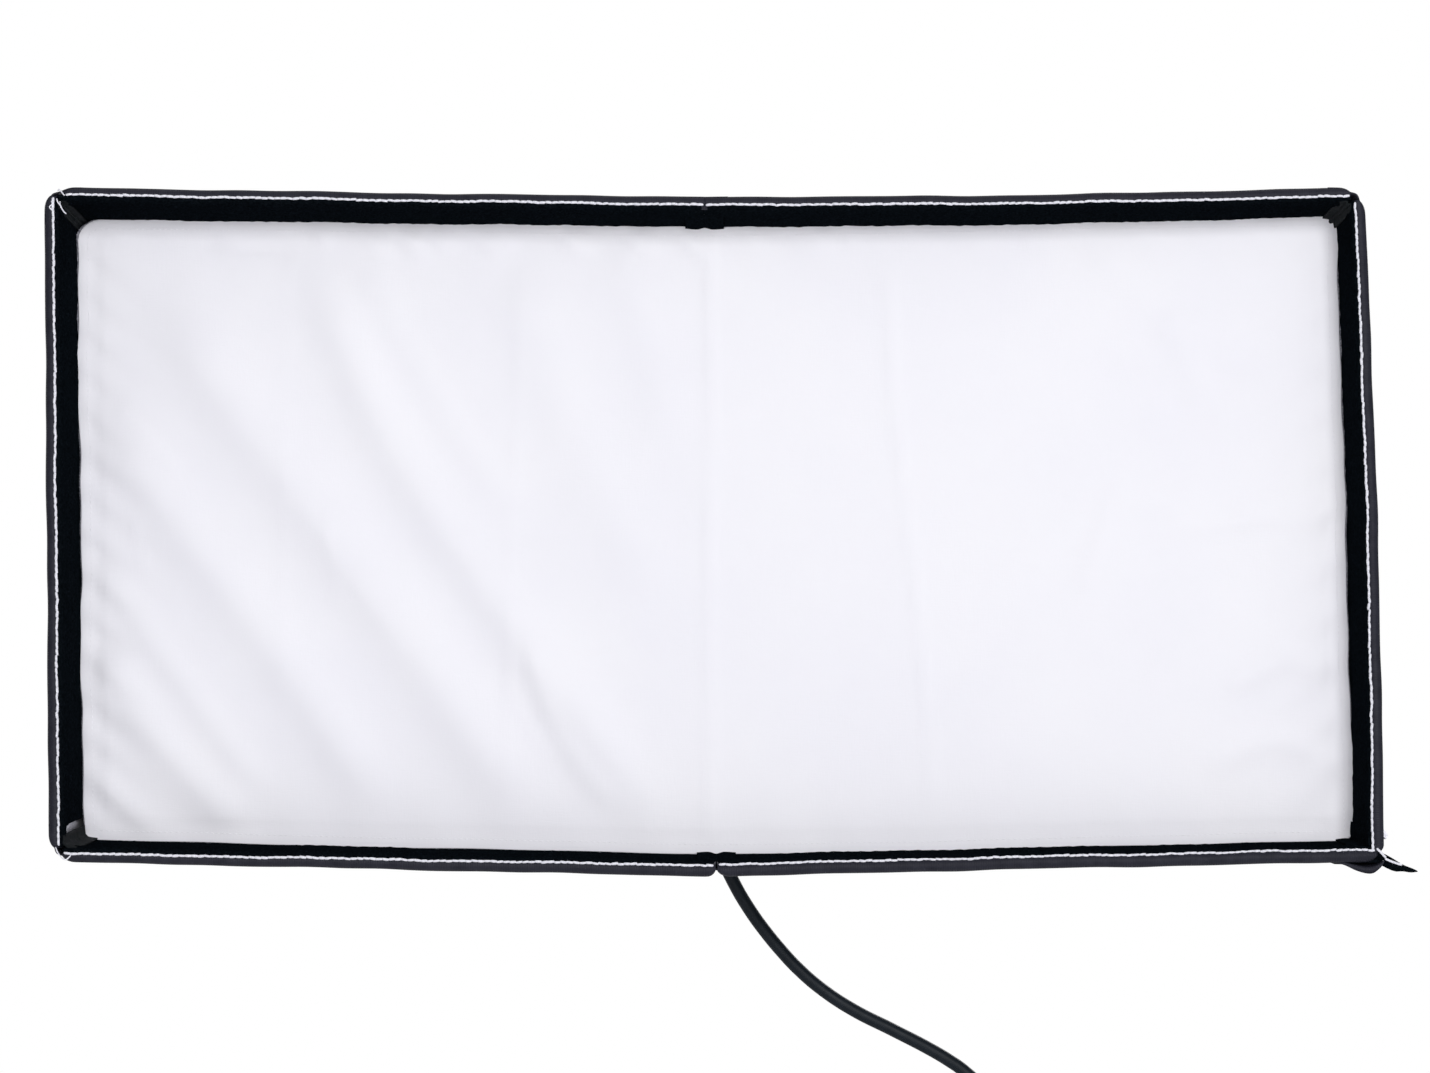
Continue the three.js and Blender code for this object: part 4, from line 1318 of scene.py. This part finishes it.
def add_mat():
    """The mat's cover, core, loop border and LED board."""
    low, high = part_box("mat_back_cover")
    soft_plate("mat_cover", low, high, 0.008, MAT_CLOTH, "head", "mat_fabric", "mat_back_cover", wave=0.0004)
    low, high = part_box("mat_core")
    soft_plate("mat_foam_core", low, high, 0.007, GRAINED, "head", "mat_core", "mat_core", wave=0.0001)
    for side in ("left", "right", "top", "bottom"):
        low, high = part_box(f"mat_loop_strip_{side}")
        soft_plate(f"mat_pile_{side}", low, high, 0.004, PILE, "head", "loop_band", f"mat_loop_strip_{side}",
                   wave=0.0002)
    add_mat_seam()
    add_led_board()


def add_mat_seam():
    """Two rows of black stitching round the back of the mat, and its bound edge."""
    low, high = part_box("mat_back_cover")
    parts = []
    for inset in (0.0055, 0.0095):
        corners = [(low.x + inset, low.z + inset), (high.x - inset, low.z + inset),
                   (high.x - inset, high.z - inset), (low.x + inset, high.z - inset)]
        for (ax, az), (bx, bz) in zip(corners, corners[1:] + corners[:1]):
            length = math.hypot(bx - ax, bz - az)
            count = int(length / 0.0042)
            for k in range(count):
                p, q = (k + 0.12) / count, (k + 0.88) / count
                a, b = ((ax + (bx - ax) * t, high.y + 0.0001, az + (bz - az) * t) for t in (p, q))
                parts.append(stitch_parts(a, b, (0, 0.0002, 0), 0.0002, 0.00034, 5))
    add_joined("mat_seam_stitches", parts, GRAINED, "head", "mat_fabric")
    outline = []
    left, right, bottom, top = low.x + 0.008, high.x - 0.008, low.z + 0.008, high.z - 0.008
    for cx, cz, turn in ((right, top, 0), (left, top, 1), (left, bottom, 2), (right, bottom, 3)):
        for k in range(7):
            angle = math.pi / 2 * (turn + k / 6)
            outline.append((cx + 0.0072 * math.cos(angle), high.y - 0.0008, cz + 0.0072 * math.sin(angle)))
    outline.append(outline[0])
    piping = tube_parts(outline, [0.0013] * len(outline), 10)
    add_joined("mat_piping", [piping], MAT_CLOTH, "head", "mat_fabric")


def add_led_board():
    """The flexible board with its rows of LEDs, joined by traces."""
    low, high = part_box("led_sheet")
    soft_plate("led_sheet_board", low, high, 0.003, LED_BOARD, "head", "led_sheet", "led_sheet", wave=0.0)
    front = low.y
    lights, bases, traces = [], [], []

    def block(x, z, half_x, half_z, near, far):
        outline = [(x + a * half_x, z + b * half_z) for a, b in ((-1, -1), (1, -1), (1, 1), (-1, 1))]
        return block_parts([(px, near, pz) for px, pz in outline], [(px, far, pz) for px, pz in outline])

    for i in range(LED_COLUMNS):
        for j in range(LED_ROWS):
            x = low.x + (high.x - low.x) * (i + 0.5) / LED_COLUMNS
            z = low.z + (high.z - low.z) * (j + 0.5) / LED_ROWS
            bases.append(block(x, z, 0.0022, 0.0020, front - 0.0007, front + 0.0002))
            lights.append(lathe_parts((x, front - 0.00055, z), (0, -1, 0),
                                      [(0, 0.0015), (0.0002, 0.00145), (0.0004, 0.0009)], 12))
    for j in range(LED_ROWS):
        z = low.z + (high.z - low.z) * (j + 0.5) / LED_ROWS
        traces.append(block((low.x + high.x) / 2, z + 0.0035, (high.x - low.x) / 2 - 0.008, 0.0005,
                            front - 0.00015, front + 0.0002))
    add_joined("led_packages", bases, LED_BOARD, "head", "led_sheet")
    add_joined("led_domes", lights, LED_PHOSPHOR, "head", "led_sheet")
    add_joined("led_traces", traces, TRACE, "head", "led_sheet")


add_mat()


def add_hook_flap(side):
    """The flap that holds an end wall to the mat's loop border, sewn to the wall's back edge."""
    node = f"hook_flap_{side}"
    low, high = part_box(node)
    soft_plate(f"hook_tab_{side}", low, high, 0.006, HOOK, BODY[side], "hook_tape", node, wave=0.0001)


for side_name in ("left", "right"):
    add_hook_flap(side_name)


# ---- X frame ----
CORNERS = {"top_left": (-1, 1), "top_right": (1, 1), "bottom_left": (-1, -1), "bottom_right": (1, -1)}


def rod_direction(name):
    """The hub's centre at a rod's depth, the way out to its corner, and how far its tip is."""
    side, level = CORNERS[name]
    low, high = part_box(f"frame_rod_{name}")
    rod_y = (low.y + high.y) / 2
    centre = Vector((0, rod_y, centre_z))
    outer = Vector((high.x if side > 0 else low.x, rod_y, high.z if level > 0 else low.z))
    return centre, (outer - centre).normalized(), (outer - centre).length


def add_rod(name):
    """Glass-fibre rod with a metal ferrule at the hub and a rubber tip in the pocket."""
    centre, way, reach = rod_direction(name)
    reach -= 0.0022
    rod = lathe_parts(centre, way, [
        (0.0122, 0.0022), (0.0130, 0.0029), (0.20, 0.0029), (reach - 0.012, 0.0029),
        (reach - 0.0115, 0.0026)], 20)
    add_joined(f"rod_{name}", [rod], ROD, "head", "rod_plastic", f"frame_rod_{name}")
    ferrule = lathe_parts(centre, way, [
        (0.0315, 0.0031), (0.0318, 0.0042), (0.0345, 0.0046), (0.0350, 0.0040), (0.0500, 0.0038),
        (0.0510, 0.0035), (0.0520, 0.0031)], 24)
    add_joined(f"rod_ferrule_{name}", [ferrule], STEEL, "head", "steel")
    tip = lathe_parts(centre, way, [
        (reach - 0.0118, 0.0030), (reach - 0.0110, 0.0036), (reach - 0.003, 0.0037), (reach - 0.0008, 0.0030),
        (reach, 0.0012)], 20)
    add_joined(f"rod_tip_{name}", [tip], RUBBER, "head", "cord_jacket")


def add_pocket(name):
    """Webbing sleeve sewn to the mat's corner, over the rod's tip."""
    centre, way, reach = rod_direction(name)
    node = f"corner_pocket_{name}"
    across = way.cross(Vector((0, 1, 0))).normalized()
    floor_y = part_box(node)[0].y
    inside = 0.0044
    start, length = reach - 0.0300, 0.0330
    turn = np.linspace(0, math.pi, 15)
    arc = [(inside * math.cos(a), centre.y - floor_y + inside * math.sin(a) * 0.95) for a in turn]
    section = [(inside + 0.0105, 0.0012), (inside + 0.0040, 0.0012), (inside + 0.0008, 0.0022)] + arc
    section += [(-inside - 0.0008, 0.0022), (-inside - 0.0040, 0.0012), (-inside - 0.0105, 0.0012)]
    section = smooth_curve(section, 45)
    along = start + stations(length, 0.001, 10, 3)
    step = np.gradient(section, axis=0)
    normal = np.stack([step[:, 1], -step[:, 0]], axis=1)
    normal /= np.linalg.norm(normal, axis=1)[:, None]
    grids = []
    for offset in (0.0, 0.0013):
        line = section + normal * offset * (1 if normal[22][1] > 0 else -1)
        points = [[Vector((0, floor_y, centre_z)) + way * d + across * a + Vector((0, b, 0)) for a, b in line]
                  for d in along]
        grids.append(np.array(points))
    piece = shell(f"rod_pocket_{name}", grids[1], grids[0], [MAT_CLOTH])
    finish_piece(piece, "head", "mat_fabric", node)
    parts = []
    for edge in (-1, 1):
        for k in range(9):
            d = start + 0.003 + k * 0.0032
            side = edge * (inside + 0.0072)
            a = Vector((0, floor_y + 0.0027, centre_z)) + way * d + across * side
            parts.append(stitch_parts(a, a + way * 0.0024, (0, 0.0002, 0), 0.0002, 0.0004, 6))
    add_joined(f"pocket_stitches_{name}", parts, THREAD, "head", "diffuser_cloth")


for corner_name in CORNERS:
    add_rod(corner_name)
    add_pocket(corner_name)


# ---- Hub, bracket and fittings ----
HUB_RIBS = 36
COUPLING_RIBS = 30
COLLAR_CLEARANCE = 0.34
SCREW_CIRCLE = 0.0205
EDGE_BEVEL = 0.0005


def add_hub_detail():
    """Collars on the hub's four sockets, grip ribs round its rim and its screws."""
    low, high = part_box("hub")
    radius = (high.x - low.x) / 2
    parts = []
    for name in CORNERS:
        centre, way, _ = rod_direction(name)
        parts.append(lathe_parts(centre, way, [
            (radius - 0.003, 0.0042), (radius - 0.0028, 0.0072), (radius + 0.0010, 0.0072),
            (radius + 0.0016, 0.0064), (radius + 0.0016, 0.0042)], 28))
    add_joined("hub_collars", parts, CAST, "head", "cast_black")
    ribs = []
    ways = [rod_direction(name)[1] for name in CORNERS]
    for k in range(HUB_RIBS):
        angle = 2 * math.pi * (k + 0.5) / HUB_RIBS
        near = min(abs((angle - math.atan2(w.z, w.x) + math.pi) % (2 * math.pi) - math.pi) for w in ways)
        if near < COLLAR_CLEARANCE:
            continue
        x, z = radius * math.cos(angle), centre_z + radius * math.sin(angle)
        ribs.append(tube_parts([(x, low.y + 0.003, z), (x, low.y + 0.0045, z), (x, high.y - 0.0045, z),
                                (x, high.y - 0.003, z)], [0.0003, 0.0009, 0.0009, 0.0003], 8))
    add_joined("hub_grip_ribs", ribs, CAST, "head", "cast_black")
    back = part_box("tilt_lug")[0].y + 0.0035
    screws = []
    for k in range(4):
        angle = math.pi / 2 * k
        x, z = SCREW_CIRCLE * math.cos(angle), centre_z + SCREW_CIRCLE * math.sin(angle)
        screws.append(lathe_parts((x, back - 0.001, z), (0, 1, 0), [
            (0, 0.0024), (0.0022, 0.0024), (0.0026, 0.0020), (0.0026, 0.0011), (0.0016, 0.0010)], 18))
    add_joined("lug_screws", screws, STEEL, "head", "steel")


def add_coupling_knurl():
    """Grip ribs round the connector's coupling ring."""
    low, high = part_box("coupling_ring")
    cx, cy = (low.x + high.x) / 2, (low.y + high.y) / 2
    radius = (high.x - low.x) / 2
    ribs = []
    for k in range(COUPLING_RIBS):
        angle = 2 * math.pi * k / COUPLING_RIBS
        x, y = cx + radius * math.cos(angle), cy + radius * math.sin(angle)
        ribs.append(tube_parts([(x, y, low.z + 0.003), (x, y, low.z + 0.004), (x, y, high.z - 0.004),
                                (x, y, high.z - 0.003)], [0.0002, 0.0006, 0.0006, 0.0002], 6))
    add_joined("coupling_knurl", ribs, STEEL, "coupling_ring", "steel")


CAD_FINISHES = {
    "hub": CAST, "tilt_lug": CAST, "tilt_yoke": CAST, "stand_socket": CAST, "tilt_bolt": STEEL,
    "tilt_washer": STEEL, "tilt_lever": GRAINED, "clamp_screw": STEEL, "clamp_knob": GRAINED,
    "connector_body": GRAINED, "coupling_ring": STEEL,
}


def finish_cad_nodes():
    """Materials and softened edges on the nodes that stay as they are."""
    for name, material in CAD_FINISHES.items():
        node = frame["nodes"][name]
        node.data.materials.clear()
        node.data.materials.append(material)
        bevel = node.modifiers.new("edge", "BEVEL")
        bevel.width = EDGE_BEVEL
        bevel.segments = 2
        bevel.limit_method = "ANGLE"
        bevel.angle_limit = math.radians(35)


add_hub_detail()
add_coupling_knurl()
finish_cad_nodes()
